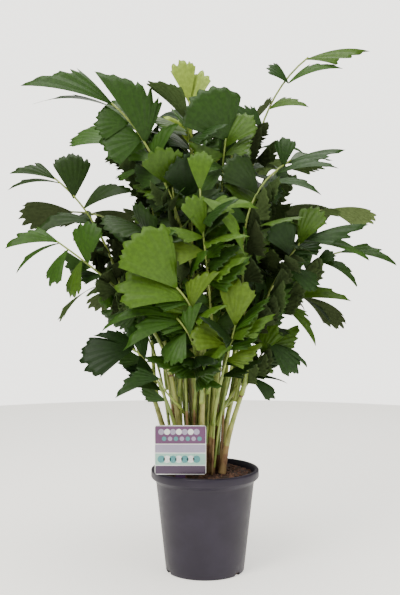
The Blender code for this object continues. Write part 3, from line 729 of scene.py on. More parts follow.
CROWN_RINGS = (
    ("crown_top", 4, 30, 250, 0.105, 1.060, 0.010, 2, 0.122),
    ("crown_high", 5, 25, 155, 0.235, 0.990, 0.040, 3, 0.124),
    ("crown_back", 6, 15, 165, 0.315, 0.850, 0.050, 3, 0.128),
    ("crown_low", 5, 15, 165, 0.270, 0.660, 0.040, 2, 0.128),
    ("crown_inner", 2, 225, 315, 0.170, 0.800, 0.030, 3, 0.115),
)


def crown_fronds():
    """The fronds that follow the ring rule, round the back, the sides and the heart of the crown."""
    rng = random.Random(SEED)
    for name, count, first, last, reach, height, rise, pairs, size in CROWN_RINGS:
        for index in range(count):
            azimuth = math.radians(between(first, last, index / (count - 1)) + rng.uniform(-7, 7))
            out = reach * rng.uniform(0.88, 1.10)
            end = rounded_direction(azimuth) * out + UP * height * rng.uniform(0.97, 1.03)
            end.x += CLUMP_X * 0.5
            via = Vector((end.x * 0.52, end.y * 0.52, 0))
            via.z = between(CANE_TOP_Z, end.z, 0.58) + rise
            green = rng.choice(("deep", "mid", "mid", "deep", "bright"))
            yield Frond(f"{name}_{index + 1}", tuple(via), tuple(end), green, (), pairs, size)


fronds = list(FRONT_FRONDS) + list(crown_fronds())
print(len(fronds), "fronds")

# %% [markdown]
# The rib is the stiff green stalk of a frond. It leaves its cane along a sheath and bends through one
# point to its end, which a cubic curve does with two pulls. It is tried on the nearest canes, with
# small shifts, until it runs clear of every tube already there, because real stalks never pass
# through each other.

# %% Ribs
def sampled(points, radii):
    """Close points along a tube, as an array, with the tube's radius at each."""
    rows = []
    for start, stop, start_radius, stop_radius in zip(points, points[1:], radii, radii[1:]):
        steps = max(1, math.ceil((stop - start).length / SAMPLE_STEP))
        for step in range(steps):
            share = step / steps
            rows.append((*start.lerp(stop, share), between(start_radius, stop_radius, share)))
    rows.append((*points[-1], radii[-1]))
    return np.array(rows)


def tubes_touch(first, second, margin):
    reach = first[:, None, 3] + second[None, :, 3] + margin
    offsets = first[:, None, :3] - second[None, :, :3]
    return bool(((offsets ** 2).sum(axis=2) < reach ** 2).any())


class Rib(Stem):
    """A smooth rib from a cane, through one point, to its end."""

    def __init__(self, foot, direction, collar, via, end, foot_radius):
        start = foot + direction * collar
        reach = (via - start).length
        self.foot = foot
        self.start = start
        self.end = end
        self.first_pull = start + direction * reach * 0.45
        # The second pull is the one that takes the curve through `via` at this share.
        share = reach / (reach + (end - via).length)
        rest = 1 - share
        known = start * rest ** 3 + self.first_pull * 3 * rest ** 2 * share + end * share ** 3
        self.second_pull = (via - known) / (3 * rest * share ** 2)
        self.foot_radius = foot_radius

    def point(self, share):
        rest = 1 - share
        return (self.start * rest ** 3 + self.first_pull * 3 * rest ** 2 * share
                + self.second_pull * 3 * rest * share ** 2 + self.end * share ** 3)

    def radius(self, share):
        return between(self.foot_radius, RIB_END_RADIUS, min(1, share * 1.25))

    def path(self):
        shares = [step / RIB_SEGMENTS for step in range(RIB_SEGMENTS + 1)]
        points = [self.point(share) for share in shares]
        radii = [self.radius(share) for share in shares]
        if self.foot != self.start:
            return [self.foot] + points, radii[:1] + radii
        return points, radii

    def seat(self, share):
        """A point on the axis of the straight stretches that the rib is made of."""
        place = min(share * RIB_SEGMENTS, RIB_SEGMENTS * END_SEAT_SHARE)
        step = min(int(place), RIB_SEGMENTS - 1)
        start, stop = self.point(step / RIB_SEGMENTS), self.point((step + 1) / RIB_SEGMENTS)
        return start.lerp(stop, place - step)


def shifts_by_size():
    """Ways to move a rib's middle clear of its neighbours, the smallest first."""
    yield Vector((0, 0, 0))
    for size in (0.010, 0.018, 0.028, 0.040):
        for x, y, z in ((0, 1, 0), (0, -1, 0), (0.6, 0.6, 0), (-0.6, -0.6, 0), (0.7, -0.5, 0.3),
                        (-0.7, 0.5, 0.3), (0, 0.4, -0.7), (0, -0.4, 0.7)):
            yield Vector((x, y, z)) * size


def rib_start(cane, via, turn):
    """Where a rib leaves its cane and in which direction: on from the top, or at a side lower down."""
    height = max(LOWEST_LEAVING_Z, via.z - LEAVES_BELOW_VIA)
    if cane.fronds == 0 and height > cane.top.z - LEAVES_NEAR_TOP:
        last, before = cane.point(1), cane.point(1 - 1 / CANE_SEGMENTS)
        direction = (last - before).normalized()
        return cane.top + direction * GAP, direction, TOP_COLLAR, RIB_TOP_RADIUS
    height = min(height, cane.top.z - LEAVES_BELOW_TOP) - TIER_DROP * max(0, cane.fronds - 1)
    height = max(LOWEST_LEAVING_Z, height)
    share = cane.share_at(height)
    along = cane.direction(share)
    out = via - cane.point(share)
    out = (out - along * out.dot(along)).normalized()
    out.rotate(Matrix.Rotation(turn, 3, along))
    offset = cane.radius(share) + RIB_FOOT_RADIUS + GAP
    start = cane.point(share) + out * offset
    return start, (along + out * SHEATH_LEAN).normalized(), 0.0, RIB_FOOT_RADIUS


def place_rib(frond, canes, tubes):
    """The rib of a frond, on the nearest cane with room, clear of every tube that is there."""
    via, end = Vector(frond.via), Vector(frond.end)

    def cost(cane):
        reach = (cane.top - via).to_2d().length
        return reach + CROWDED_CANE * cane.fronds

    for cane in sorted(canes, key=cost)[:NEAREST_CANES]:
        others = [rows for name, rows in tubes if name != cane.name]
        own = [rows for name, rows in tubes if name == cane.name]
        for shift in shifts_by_size():
            for turn in RIB_TURNS:
                foot, direction, collar, radius = rib_start(cane, via, turn)
                rib = Rib(foot, direction, collar, via + shift, end, radius)
                rows = sampled(*rib.path())
                if any(tubes_touch(rows, other, RIB_MARGIN) for other in others):
                    continue
                if not collar and any(tubes_touch(rows[1:], mine, GAP / 2) for mine in own):
                    continue
                cane.fronds += 1
                tubes.append((frond.name, rows))
                return rib
    raise RuntimeError(f"no clear way for the rib of {frond.name}")


tubes = [(cane.name, sampled(*cane.path())) for cane in canes]
ribs = {frond.name: place_rib(frond, canes, tubes) for frond in fronds}
print(len(ribs), "ribs")

# %% [markdown]
# A leaflet is a wedge that widens from the rib to a ragged end. Its record is turned into directions
# in space here: where it starts, where it points and where its upper face looks. The front ones come
# from the table, and the rest from a rule with a seeded chance, so every run grows the same plant.

# %% Leaflets in space
def blade_of(leaflet, rib):
    """A leaflet of the front fronds, from the bearing and length that it shows from the front."""
    bearing = math.radians(leaflet.bearing)
    toward = math.radians(leaflet.toward)
    tip = Vector((math.sin(bearing) * math.cos(toward), -math.sin(toward),
                  math.cos(bearing) * math.cos(toward)))
    front = (VIEWER - tip * VIEWER.dot(tip)).normalized()
    above = tip.cross(front)
    if above.z < 0:
        above.negate()
    face = math.radians(leaflet.face)
    normal = front * math.cos(face) + above * math.sin(face)
    spread = math.radians(leaflet.spread)
    along = Matrix.Rotation(leaflet.tail * spread / 2, 3, normal) @ tip
    return Blade(rib.seat(leaflet.share), along, normal, leaflet.length, spread, leaflet.tail,
                 math.radians(leaflet.droop))


def ruled_blades(frond, rib, rng):
    """Leaflets by the rule: an end leaflet, if the frond has none yet, and pairs below it."""
    if not frond.leaflets:
        yield rule_blade(frond, rib, 1.0, 0, rng)
    first = 0.42 if frond.leaflets else 0.56
    last = 0.62 if frond.leaflets else 0.93
    for pair in range(frond.pairs):
        share = between(last, first, pair / max(1, frond.pairs - 1))
        for side in (1, -1):
            yield rule_blade(frond, rib, share + 0.018 * side, side, rng)


def rule_blade(frond, rib, share, side, rng):
    """One leaflet at the side (1 or -1) or the end (0) of a rib, its upper face turned up and out."""
    stem = rib.direction(share)
    out = Vector((rib.end.x - rib.start.x, rib.end.y - rib.start.y, 0)).normalized()
    across = out.cross(UP)
    angle = math.radians(rng.uniform(48, 70)) * side
    hang = out * rng.uniform(0.15, 0.45) - UP * rng.uniform(0.15, 0.50)
    along = (stem * math.cos(angle) + across * math.sin(angle) + hang).normalized()
    lift = UP * rng.uniform(0.30, 0.80) + out * 0.80
    normal = (lift - along * lift.dot(along)).normalized()
    normal = Matrix.Rotation(math.radians(rng.uniform(-28, 28)), 3, along) @ normal
    length = frond.size * rng.uniform(0.86, 1.16) * (1.12 if side == 0 else 1)
    spread = math.radians(rng.uniform(30, 46) if side else rng.uniform(44, 58))
    return Blade(rib.seat(share), along, normal, length, spread, side,
                 math.radians(rng.uniform(24, 50)))


def smooth_reach(across, tail, power, fall):
    """How far a leaflet without teeth reaches, over its width from -1 to 1."""
    if tail:
        toward_tail = (1 + across * tail) / 2
        return between(SHORT_SIDE_REACH, 1, toward_tail ** power)
    return 1 - fall * abs(across) ** 1.6


def reach_share(across, tail):
    """How far the ragged end of a leaflet reaches, with two plain teeth."""
    reach = smooth_reach(across, tail, 1.3, 0.20)
    return reach - TOOTH_DEPTH * abs(math.sin(math.pi * (across + 1))) * (0.6 + 0.4 * abs(across))


def arched(blade, forward, sideways, lift):
    """A point of the blade's surface, which is arched along its length, lifted off it by `lift`."""
    turned = blade.droop * (0.5 - forward / blade.length)
    half = blade.droop / 2
    scale = blade.length / blade.droop
    ahead = scale * (math.sin(half) - math.sin(turned))
    raised = scale * (math.cos(turned) - math.cos(half)) + lift
    side = blade.along.cross(blade.normal)
    return blade.base + blade.along * ahead + blade.normal * raised + side * sideways


def blade_point(blade, across, along_share, lift):
    reach = blade.length * reach_share(across, blade.tail) * along_share
    angle = across * blade.spread / 2
    sideways = reach * math.sin(angle) + LEAFLET_NECK * across * (1 - along_share)
    return arched(blade, reach * math.cos(angle), sideways, lift)


print(sum(len(frond.leaflets) for frond in fronds), "leaflets in the table")

# %% [markdown]
# No two leaves of a real plant grow through each other. Each leaflet is therefore swung, rolled or
# lifted until it finds room among the ones before it. The search runs on plain wedges and search
# trees, which is quick, and the fine leaves are drawn afterwards.

# %% Room for leaflets
def blade_thickness(blade):
    return max(LEAFLET_LEAST_THICKNESS, blade.length * LEAFLET_THICKNESS_SHARE)


# Rows of a blade, as shares of its length, with the places of their points across it.
BLADE_ROWS = ((0.0, (-1, 1)), (0.5, (-1, 0, 1)), (1.0, (-1, -0.5, 0, 0.5, 1)))
BLADE_FACES = ((0, 1, 3), (0, 3, 2), (1, 4, 3), (2, 3, 7), (2, 7, 6), (2, 6, 5),
               (3, 4, 7), (4, 8, 7), (4, 9, 8))


CLEAR_SHARE = 0.14


def blade_mesh(blade, margin):
    """A closed thin plate of three rows of points, which widen from near the rib to the ragged end."""
    half = blade_thickness(blade) / 2 + margin
    wider = blade._replace(spread=blade.spread + 2 * margin / (0.6 * blade.length),
                           length=blade.length + margin)
    bm = bmesh.new()
    below = [bm.verts.new(blade_point(wider, across, share or CLEAR_SHARE, -half))
             for share, places in BLADE_ROWS for across in places]
    faces = [bm.faces.new([below[corner] for corner in corners]) for corners in BLADE_FACES]
    top = bmesh.ops.extrude_face_region(bm, geom=faces)["geom"]
    top_points = [part for part in top if isinstance(part, bmesh.types.BMVert)]
    bmesh.ops.translate(bm, verts=top_points, vec=blade.normal * 2 * half)
    return mesh_from(bm, "blade")


def tree_of(mesh):
    points = [vertex.co for vertex in mesh.vertices]
    return BVHTree.FromPolygons(points, [face.vertices for face in mesh.polygons])


class Space:
    """What already stands in the crown: the search tree and the owner of every rib, cane and leaflet."""

    def __init__(self):
        self.rows = []

    def add(self, owner, mesh):
        low, high = mesh_box(mesh)
        self.rows.append((owner, low, high, tree_of(mesh)))

    def is_free(self, owner, mesh):
        low, high = mesh_box(mesh)
        tree = tree_of(mesh)
        for other, other_low, other_high, other_tree in self.rows:
            if other == owner:
                continue
            if all(low[axis] < other_high[axis] and other_low[axis] < high[axis] for axis in range(3)):
                if tree.overlap(other_tree):
                    return False
        return True


def mesh_box(mesh):
    rows = np.array([vertex.co for vertex in mesh.vertices])
    return rows.min(axis=0), rows.max(axis=0)


TURN_SIZES = (10, 20, 32)
# Swing, roll and tilt as shares of the turn, and the share of its length that the leaflet keeps.
TURNS = ((1, 0, 0, 1.0), (-1, 0, 0, 1.0), (0, 1, 0, 1.0), (0, -1, 0, 1.0), (0, 0, 1, 1.0),
         (0, 0, -1, 1.0), (0.6, 0.8, 0, 0.90), (-0.6, -0.8, 0, 0.90), (0, 0.8, 0.8, 0.82),
         (0, -0.8, -0.8, 0.82))


def variants(blade):
    """The blade as the rule gives it, then swung, rolled, lifted or shortened until it finds room."""
    yield blade
    for size in TURN_SIZES:
        for swing, roll, tilt, scale in TURNS:
            angle = math.radians(size)
            side = blade.along.cross(blade.normal)
            turn = (Matrix.Rotation(swing * angle, 3, blade.normal)
                    @ Matrix.Rotation(roll * angle, 3, blade.along)
                    @ Matrix.Rotation(tilt * angle, 3, side))
            yield blade._replace(along=turn @ blade.along, normal=turn @ blade.normal,
                                 length=blade.length * scale)


def find_room(frond, blade, space, order):
    """The first variant of the blade that has room, or None."""
    for tried in variants(blade):
        wide = blade_mesh(tried, LEAFLET_MARGIN)
        free = space.is_free(frond.name + "_rib", wide)
        bpy.data.meshes.remove(wide)
        if not free:
            continue
        outer = blade_mesh(tried, 0.0)
        space.add(f"{frond.name}_leaflet_{order}", outer)
        bpy.data.meshes.remove(outer)
        return tried
    return None


def plain_tube(points, radii, resolution):
    """A round tube through the points, by way of a bevelled curve with filled ends."""
    curve = bpy.data.curves.new("plain", "CURVE")
    curve.dimensions = "3D"
    curve.bevel_depth = 1.0
    curve.bevel_resolution = resolution
    curve.use_fill_caps = True
    spline = curve.splines.new("POLY")
    spline.points.add(len(points) - 1)
    for knot, point, radius in zip(spline.points, points, radii):
        knot.co = (*point, 1)
        knot.radius = radius
    return evaluated_mesh(linked("plain", curve))


def placed_leaflets():
    """Every leaflet of the frame with its frond."""
    space = Space()
    for cane in canes:
        tube = plain_tube(*cane.path(), 1)
        space.add(cane.name, tube)
        bpy.data.meshes.remove(tube)
    for frond in fronds:
        tube = plain_tube(*ribs[frond.name].path(), 0)
        space.add(frond.name + "_rib", tube)
        bpy.data.meshes.remove(tube)
    rng = random.Random(SEED)
    placed = []
    for frond in fronds:
        rib = ribs[frond.name]
        blades = [blade_of(leaflet, rib) for leaflet in frond.leaflets]
        blades += list(ruled_blades(frond, rib, rng))
        for order, blade in enumerate(blades):
            found = find_room(frond, blade, space, order)
            if found:
                placed.append((frond, found))
    return space, placed


space, leaflets = placed_leaflets()
FRAME_LEAFLETS = len(leaflets)
print(len(leaflets), "leaflets placed")

# %% [markdown]
# The real crown has more small leaflets near its heart than the plain solids carry. They could be
# scattered at random, but then they would float. They are grown by the same rule along the same ribs,
# and only where the crown is dense, so that light still comes through at its edge.

# %% Denser heart
HEART = Vector((-0.02, -0.01, 0.75))
HEART_REACH = Vector((0.33, 0.26, 0.36))
HEART_PAIRS = 13
HEART_LEAFLET = 0.120


def in_heart(point):
    offset = point - HEART
    return sum((offset[axis] / HEART_REACH[axis]) ** 2 for axis in range(3)) < 1


def heart_leaflets(pairs, size):
    rng = random.Random(SEED + 1)
    for frond in fronds:
        for pair in range(pairs):
            share = between(0.34, 0.95, (pair + rng.random()) / pairs)
            for side in (1, -1):
                blade = rule_blade(frond, ribs[frond.name], share, side, rng)
                blade = blade._replace(length=size * rng.uniform(0.75, 1.15))
                tip = blade.base + blade.along * blade.length
                if not in_heart(tip) or not in_heart(blade.base):
                    continue
                found = find_room(frond, blade, space, f"more_{pair}_{side}")
                if found:
                    yield frond, found


more = list(heart_leaflets(HEART_PAIRS, HEART_LEAFLET))
leaflets += more
print(len(more), "more leaflets near the heart")

# %% [markdown]
# Between the canes stand many thin leaf stalks, and without them the clump looks bare. Each is one
# more curve by the sunflower rule, with a few leaflets at its end, kept inside the heart of the crown.

# %% Slender stalks
STALK_COUNT = 44
STALK_PHASE = 1.1
STALK_LEAFLET = 0.125
STALK_SEATS = ((1.0, 0), (0.96, 1), (0.94, -1), (0.86, 1), (0.84, -1))


class Stalk(Stem):
    """A thin stem from the soil to the heart of the crown."""

    def __init__(self, index, rng):
        share = math.sqrt((index + 0.5) / STALK_COUNT)
        angle = STALK_PHASE + index * GOLDEN_ANGLE
        out = Vector((CLUMP_HALF_WIDTH * share * math.cos(angle),
                      CLUMP_HALF_DEPTH * share * math.sin(angle), 0))
        self.frond = fronds[index % len(fronds)]
        self.start = Vector((CLUMP_X, 0, SOIL_TOP_Z - 0.004)) + out * 0.95
        self.end = Vector((CLUMP_X * 0.6, 0, rng.uniform(0.56, 0.98))) + out * rng.uniform(2.0, 2.9)
        self.pull = self.start.lerp(self.end, 0.5) - out * 0.45 + UP * 0.05

    def point(self, share):
        rest = 1 - share
        return self.start * rest ** 2 + self.pull * 2 * rest * share + self.end * share ** 2

    def seat(self, share):
        return self.point(share)

    def radius(self, share, angle):
        return between(0.0033, 0.0017, share)


def stalk_leaflets(stalks, size):
    rng = random.Random(SEED + 6)
    for index, stalk in enumerate(stalks):
        for order, (share, side) in enumerate(STALK_SEATS):
            blade = rule_blade(stalk.frond, stalk, share, side, rng)
            blade = blade._replace(length=size * rng.uniform(0.80, 1.15))
            found = find_room(stalk.frond, blade, space, f"stalk_{index}_{order}")
            if found:
                yield stalk.frond, found


stalk_rng = random.Random(SEED + 5)
stalks = [Stalk(index, stalk_rng) for index in range(STALK_COUNT)]
on_stalks = list(stalk_leaflets(stalks, STALK_LEAFLET))
leaflets += on_stalks
print(len(on_stalks), "leaflets on slender stalks")

# %% [markdown]
# A real leaflet is pleated like a fan, its outer margin is bitten into lobes and small teeth, and its
# tail is drawn out. A picture on a flat card would lose the folds at the outline. So each leaflet is a
# fine grid whose points are laid on an arched, pleated surface, and its pleats are sharp edges.

# %% Fine leaflets
LEAF_ROWS = 9
LEAF_SKIN = 0.00045
LEAST_PLEATS = 5
MOST_PLEATS = 13
WIDER = 1.10
WIDEST = math.radians(7)
SAG = 0.07
LOBE_DEPTH = 0.090
JAG_DEPTH = 0.070


def bitten(across, tail, lobes, jag):
    """The reach of the ragged margin, with lobes between the pleats and small teeth on them."""
    reach = smooth_reach(across, tail, 1.45, 0.18)
    lobe = abs(math.sin(math.pi * lobes * (across + 1) / 2))
    return reach - LOBE_DEPTH * (1 - lobe) * (1 - across ** 2) ** 0.5 - JAG_DEPTH * jag ** 1.5


def leaf_point(blade, across, share, reach, lift):
    """A point of the fine leaflet, on the same arched surface as the plain one."""
    bulge = 1 + 0.06 * math.sin(math.pi * share)
    angle = across * (blade.spread * WIDER + WIDEST) / 2 * bulge
    distance = blade.length * reach * share
    sideways = distance * math.sin(angle) + LEAFLET_NECK * across * (1 - share)
    return arched(blade, distance * math.cos(angle), sideways, lift)


def add_leaf(bm, blade, rng):
    degrees = math.degrees(blade.spread)
    lobes = max(3, round(degrees * rng.uniform(0.08, 0.13)))
    pleats = min(MOST_PLEATS, max(LEAST_PLEATS, round(degrees * 0.28)))
    columns = 2 * pleats
    jags = [rng.random() for _ in range(columns + 1)]
    curl = rng.uniform(-0.07, 0.02)
    depth = rng.uniform(0.045, 0.085)
    ripple = rng.uniform(0.006, 0.016)
    phase = rng.uniform(0, math.tau)

    def place(column, row):
        share = row / LEAF_ROWS
        across = 2 * column / columns - 1
        reach = bitten(across, blade.tail, lobes, jags[column])
        width = blade.length * blade.spread * share
        fold = math.cos(math.pi * pleats * (across + 1) / 2) * width / pleats * depth
        cup = curl * blade.length * share ** 2 * across ** 2
        wave = ripple * blade.length * share ** 2 * math.sin(3.1 * across + phase + 2 * share)
        point = leaf_point(blade, across, share, reach, fold + cup + wave)
        return point - UP * blade.length * SAG * (share * reach) ** 3

    grid = lay_grid(bm, columns, LEAF_ROWS, place)
    for low, high in zip(grid, grid[columns + 1:]):
        bm.edges.get((low, high)).smooth = False


SHARED_TONE = 0.6


def make_leaves():
    rng = random.Random(SEED + 2)
    meshes = {name: bmesh.new() for name in TONES}
    nodes = {name: set() for name in TONES}
    spray_tone = {frond.name: rng.choice(TONES_OF[frond.green]) for frond in fronds}
    for order, (frond, blade) in enumerate(leaflets):
        like_spray = rng.random() < SHARED_TONE
        tone = spray_tone[frond.name] if like_spray else rng.choice(TONES_OF[frond.green])
        # Leaflets of the heart and of the slender stalks, inside the crown, are dealt deep and mid greens
        # more often: painted shade.
        if order >= FRAME_LEAFLETS and rng.random() < SHARED_TONE:
            tone = rng.choice(TONES_OF["deep"] + TONES_OF["mid"])
        add_leaf(meshes[tone], blade, rng)
        nodes[tone].add(frond.name)
    return meshes, nodes


leaf_meshes, leaf_nodes = make_leaves()
for tone, bm in leaf_meshes.items():
    if not leaf_nodes[tone]:
        bm.free()
        continue
    mesh = bpy.data.meshes.new(f"leaflets_{tone}")
    bm.to_mesh(mesh)
    bm.free()
    sides = [leaf_tops[tone], leaf_backs[tone]]
    piece = show(f"leaflets_{tone}", mesh, sides, sorted(leaf_nodes[tone]))
    skin = piece.modifiers.new("Skin", "SOLIDIFY")
    skin.thickness = LEAF_SKIN
    skin.offset = 0
    skin.material_offset = 1

# %% [markdown]
# Ribs, stalks, canes and threads are all tubes. A curve with a bevel makes a plain one. Here a grid is
# rolled up along a path, and its radius is a function of the way along and round, so a sheath, a leaf
# scar or a swelling is one term in that function. Each tube's seam is welded, and its ends are filled.

# %% Rolled tubes
class Tubes:
    """The tubes of one piece."""

    def __init__(self):
        self.bm = bmesh.new()
        self.seams = {}

    def add(self, path, radius_at, rings, sides, zone_at):
        """A tube along path(share), with radius_at(share, angle) and a material for each zone."""
        frames = ring_frames(path, rings)

        def place(column, row):
            centre, side, other = frames[row]
            angle = math.tau * (column % sides) / sides
            out = side * math.cos(angle) + other * math.sin(angle)
            return centre + out * radius_at(row / rings, angle)

        grid = lay_grid(self.bm, sides, rings, place)
        for first in range(0, len(grid), sides + 1):
            self.seams[grid[first + sides]] = grid[first]
        for order, face in enumerate(list(self.bm.faces)[-rings * sides:]):
            face.material_index = zone_at((order // sides + 1) / rings)

    def mesh(self, name):
        """Closes every seam, and both ends in the finish of the faces beside them."""
        bmesh.ops.weld_verts(self.bm, targetmap=self.seams)
        for cap in bmesh.ops.holes_fill(self.bm, edges=self.bm.edges)["faces"]:
            beside = next(face for face in cap.edges[0].link_faces if face != cap)
            cap.material_index = beside.material_index
        return mesh_from(self.bm, name)


def ring_frames(path, rings):
    """The centre of each ring, and two directions across it that turn as little as possible."""
    side = Vector((1, 0, 0))
    step = 0.5 / rings
    frames = []
    for ring in range(rings + 1):
        share = ring / rings
        along = (path(min(1, share + step)) - path(max(0, share - step))).normalized()
        side = side - along * side.dot(along)
        side = side.normalized() if side.length > 1e-6 else along.orthogonal().normalized()
        frames.append((path(share), side, along.cross(side)))
    return frames


print("tube tools ready")

# %% [markdown]
# The ribs are smooth and a little oval, and swell where they leave the cane. The canes are ringed with
# leaf scars and wrapped in old sheaths, which a bump couldn't show at their edges. Their finish changes
# with height: brown at the foot, then green, and a younger green above the last scar.

# %% Fine ribs and canes
RIB_GRID = (26, 10)
STALK_GRID = (24, 8)
CANE_GRID = (90, 16)
# The cane's finishes, by their place in its list of materials.
SKIN, FOOT, YOUNG, SCAR = range(4)


def make_ribs():
    tubes = Tubes()
    for frond in fronds:
        rib = ribs[frond.name]

        def path(share, rib=rib):
            return rib.foot if share == 0 and rib.foot != rib.start else rib.point(share)

        def radius(share, angle, rib=rib):
            sheath = 1 + 0.32 * max(0, 1 - share / 0.10) ** 2
            return rib.radius(share) * sheath * (1 + 0.05 * math.cos(2 * angle))

        tubes.add(path, radius, *RIB_GRID, lambda share: 0)
    for stalk in stalks:
        brown = stalk_rng.uniform(0.05, 0.30)
        tubes.add(stalk.point, stalk.radius, *STALK_GRID, lambda share, brown=brown: int(share < brown))
    return tubes.mesh("ribs")


def make_canes():
    rng = random.Random(SEED + 3)
    tubes = Tubes()
    for cane in canes:
        scars = sorted(rng.uniform(0.08, 0.9) for _ in range(3))
        lean = rng.uniform(0, math.tau)
        brown = rng.uniform(0.06, 0.42)

        def radius(share, angle, cane=cane, scars=scars, lean=lean):
            slanted = share + 0.012 * math.cos(angle - lean)
            sheath = sum(0.00045 * max(0, 1 - abs(slanted - scar) / 0.012) for scar in scars)
            wrapped = 0.00035 * sum(slanted < scar for scar in scars)
            ridge = 0.00018 * math.sin(5 * angle + 9 * share)
            foot = 0.0012 * max(0, 1 - share / 0.10) ** 2
            return cane.radius(share) * 0.88 + sheath + wrapped + ridge + foot

        def zone(share, scars=scars, brown=brown):
            if share < brown:
                return FOOT
            if abs(share - scars[0]) < 0.006 or share > 0.985:
                return SCAR
            return YOUNG if share > scars[-1] else SKIN

        tubes.add(cane.point, radius, *CANE_GRID, zone)
    return tubes.mesh("canes")


cane_names = [cane.name for cane in canes]
show("ribs", make_ribs(), [rib_green, cane_foot], [frond.name for frond in fronds])
show("canes", make_canes(), [cane_skin, cane_foot, cane_young, fibre], cane_names)

# %% [markdown]
# Brown threads hang from the sheaths where ribs leave the canes. A particle system could comb them, but
# it is slow to set up. A few short thin tubes at each rib, from one seeded rule, are enough at this size.

# %% Sheath fibres
FIBRES_EACH = 5
FIBRE_GRID = (5, 4)
FIBRE_RADIUS = 0.00042


def fibre_radius(along, angle):
    return FIBRE_RADIUS * (1.1 - along)


def make_fibres(each):
    rng = random.Random(SEED + 4)
    tubes = Tubes()
    for frond in fronds:
        rib = ribs[frond.name]
        for _ in range(each):
            start = rib.point(rng.uniform(0.01, 0.07))
            out = rounded_direction(rng.uniform(0, math.tau))
            length = rng.uniform(0.010, 0.024)
            hang = rng.uniform(-0.3, 0.7)

            def path(along, start=start, out=out, length=length, hang=hang):
                lift = UP * (0.8 * along - hang * along ** 2)
                return start + out * (0.003 + 0.004 * along) + lift * length

            tubes.add(path, fibre_radius, *FIBRE_GRID, lambda along: 0)
    return tubes.mesh("fibres")


show("sheath_fibres", make_fibres(FIBRES_EACH), [fibre], [])

# %% [markdown]
# The plant card is a thin plastic board on a stake, which stands in the soil just inside the rim. It
# carries plain bands and dots. A picture texture would blur close up, so they are thin layers.

# %% Plant card
CARD_Y = -0.0885
CARD_CENTRE_X = -0.0570
CARD_WIDTH = 0.118
CARD_TOP_Z = 0.3620
CARD_LOW_Z = 0.2480
CARD_STAKE_WIDTH = 0.022
CARD_THICKNESS = 0.0010
CARD_CORNER = 0.006
CARD_INSET = 0.0014
BAND_CORNER = 0.0022
BAND_FACES = (-0.00025, -0.00002)
DOT_FACES = (-0.00050, -0.00028)
DOTS_IN_ROW = 7

# The ink of each band, with its lower and upper edge as shares of the card's height.
BANDS = (("plum", 0.63, 0.985), ("lilac", 0.45, 0.61), ("mint", 0.20, 0.43), ("dark plum", 0.015, 0.18))
# The height of each row of dots, its two inks and the radius of its dots.
DOT_ROWS = ((0.87, ("lilac", "white"), 0.0068), (0.73, ("teal", "lilac"), 0.0050),
            (0.315, ("teal", "white"), 0.0085))

CARD_INKS = {
    "plum": (0.110, 0.035, 0.105),
    "lilac": (0.330, 0.290, 0.400),
    "white": (0.720, 0.740, 0.720),
    "mint": (0.300, 0.520, 0.430),
    "teal": (0.060, 0.250, 0.260),
    "dark plum": (0.048, 0.022, 0.060),
}
card_inks = {name: mottled(f"card {name}", colour, shaded(colour, 0.93), 0.34, 30, 0.0, 0.15)
             for name, colour in CARD_INKS.items()}
card_order = list(CARD_INKS)


def add_plate(bm, outline, faces, ink):
    """A flat plate with the given outline in X and Z, between two distances behind the card's front."""
    low_y, high_y = (CARD_Y + face for face in faces)
    face = bm.faces.new([bm.verts.new((x, low_y, z)) for x, z in outline])
    grown = bmesh.ops.extrude_face_region(bm, geom=[face])["geom"]
    moved = [part for part in grown if isinstance(part, bmesh.types.BMVert)]
    bmesh.ops.translate(bm, verts=moved, vec=(0, high_y - low_y, 0))
    bm.normal_update()
    for part in {near for point in moved for near in point.link_faces} | {face}:
        part.material_index = card_order.index(ink)


def arc(x, z, radius, first, turn, steps):
    """Points of a part of a circle, with its angles in degrees."""
    for step in range(steps):
        angle = math.radians(first + turn * step / max(1, steps - 1))
        yield x + radius * math.cos(angle), z + radius * math.sin(angle)


def rounded_box(left, right, low, high, radius, steps=7):
    points = []
    for x, z, first in ((right - radius, low + radius, -90), (right - radius, high - radius, 0),
                        (left + radius, high - radius, 90), (left + radius, low + radius, 180)):
        points += arc(x, z, radius, first, 90, steps)
    return points


def disc(x, z, radius, steps=28):
    return list(arc(x, z, radius, 0, 360 * (steps - 1) / steps, steps))


def card_height(share):
    return between(CARD_LOW_Z, CARD_TOP_Z, share)


def make_card():
    half = CARD_WIDTH / 2
    left, right = CARD_CENTRE_X - half, CARD_CENTRE_X + half
    stake_left, stake_right = (CARD_CENTRE_X + side * CARD_STAKE_WIDTH / 2 for side in (-1, 1))
    bm = bmesh.new()
    add_plate(bm, rounded_box(left, right, CARD_LOW_Z, CARD_TOP_Z, CARD_CORNER), (0, CARD_THICKNESS),
              "white")
    add_plate(bm, [(stake_left, CARD_LOW_Z + 0.004), (stake_left, SOIL_TOP_Z - 0.010),
                   (CARD_CENTRE_X, SOIL_TOP_Z - 0.024), (stake_right, SOIL_TOP_Z - 0.010),
                   (stake_right, CARD_LOW_Z + 0.004)], (0.0002, CARD_THICKNESS - 0.0002), "dark plum")
    for ink, low, high in BANDS:
        box = rounded_box(left + CARD_INSET, right - CARD_INSET, card_height(low), card_height(high),
                          BAND_CORNER)
        add_plate(bm, box, BAND_FACES, ink)
    for row, (height, inks, size) in enumerate(DOT_ROWS):
        for index in range(DOTS_IN_ROW):
            x = between(left + 0.015, right - 0.015, (index + 0.5 * (row % 2)) / 6.5)
            add_plate(bm, disc(x, card_height(height), size), DOT_FACES, inks[index % 2])
    return mesh_from(bm, "plant_card")


card_finishes = [card_inks[name] for name in card_order]
show("printed_card", make_card(), card_finishes, ["plant_card"], smooth=False)

# %% [markdown]
# A plain pale floor, large soft lamps, and an even pale studio all round show the plant from every
# side. A wall behind it would hide it from the back. The studio looks brighter than it shines, which
# keeps the shade inside the crown.

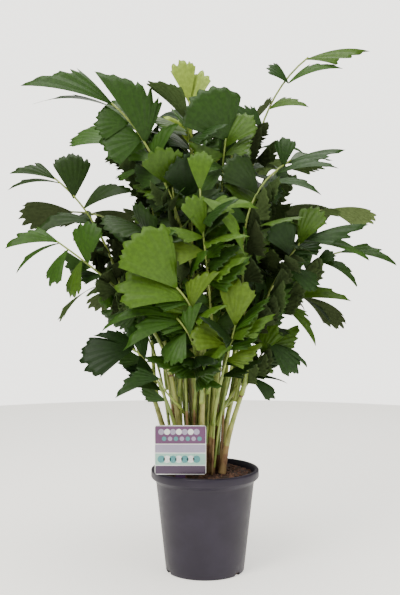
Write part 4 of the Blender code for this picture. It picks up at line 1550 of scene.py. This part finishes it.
# %% Floor and light
FLOOR_RADIUS = 2.6
FLOOR_DROP = 0.0004
LAMPS = (
    ("key", (-1.3, -2.0, 2.6), 1.3, 78, (1.0, 0.97, 0.92), (0, 0, 0.65)),
    ("fill", (1.9, -1.9, 1.3), 1.8, 26, (1.0, 0.99, 0.96), (0, 0, 0.65)),
    ("top", (0.2, 0.2, 3.0), 1.6, 20, (1, 1, 1), (0, 0, 0.65)),
    ("back", (0.4, 2.0, 3.2), 1.8, 34, (1.0, 0.98, 0.94), (0, 0, 0.65)),
    ("floor wash", (0, -0.4, 3.8), 3.0, 110, (1.0, 0.98, 0.93), (0, -0.4, 0)),
)
STUDIO_COLOUR = (1.0, 0.985, 0.930)
STUDIO_SHINE = 0.40
STUDIO_LOOK = 3.0


def make_floor():
    bm = bmesh.new()
    bmesh.ops.create_circle(bm, cap_ends=True, radius=FLOOR_RADIUS, segments=128)
    bmesh.ops.translate(bm, verts=bm.verts, vec=(0, 0, -FLOOR_DROP))
    mesh = mesh_from(bm, "floor")
    paper = Finish("pale paper", (0.95, 0.935, 0.88), 0.9, specular=0.05)
    paper.put("Emission Color", (1.0, 0.985, 0.93, 1))
    paper.put("Emission Strength", 0.85)
    mesh.materials.append(paper.material)
    floor = linked("floor", mesh)


def lamp(name, place, size, watts, colour, target):
    data = bpy.data.lights.new(name, "AREA")
    data.size = size
    data.energy = watts
    data.color = colour
    light = linked(name, data)
    light.location = place
    light.rotation_euler = (Vector(target) - Vector(place)).to_track_quat("-Z", "Y").to_euler()


def make_studio(colour, shine, look):
    """An even world: its shine lights the plant, and its look is what the camera sees."""
    world = bpy.data.worlds.new("studio")
    world.use_nodes = True
    graph = Graph(world.node_tree)
    background = graph.tree.nodes["Background"]
    seen = graph.node("ShaderNodeLightPath", {}, {}, "Is Camera Ray")
    graph.join((*colour, 1), background.inputs["Color"])
    graph.join(graph.node("ShaderNodeMix", {}, {0: seen, 2: shine, 3: look}),
               background.inputs["Strength"])
    bpy.context.scene.world = world


make_floor()
for row in LAMPS:
    lamp(*row)
make_studio(STUDIO_COLOUR, STUDIO_SHINE, STUDIO_LOOK)
print("studio ready")
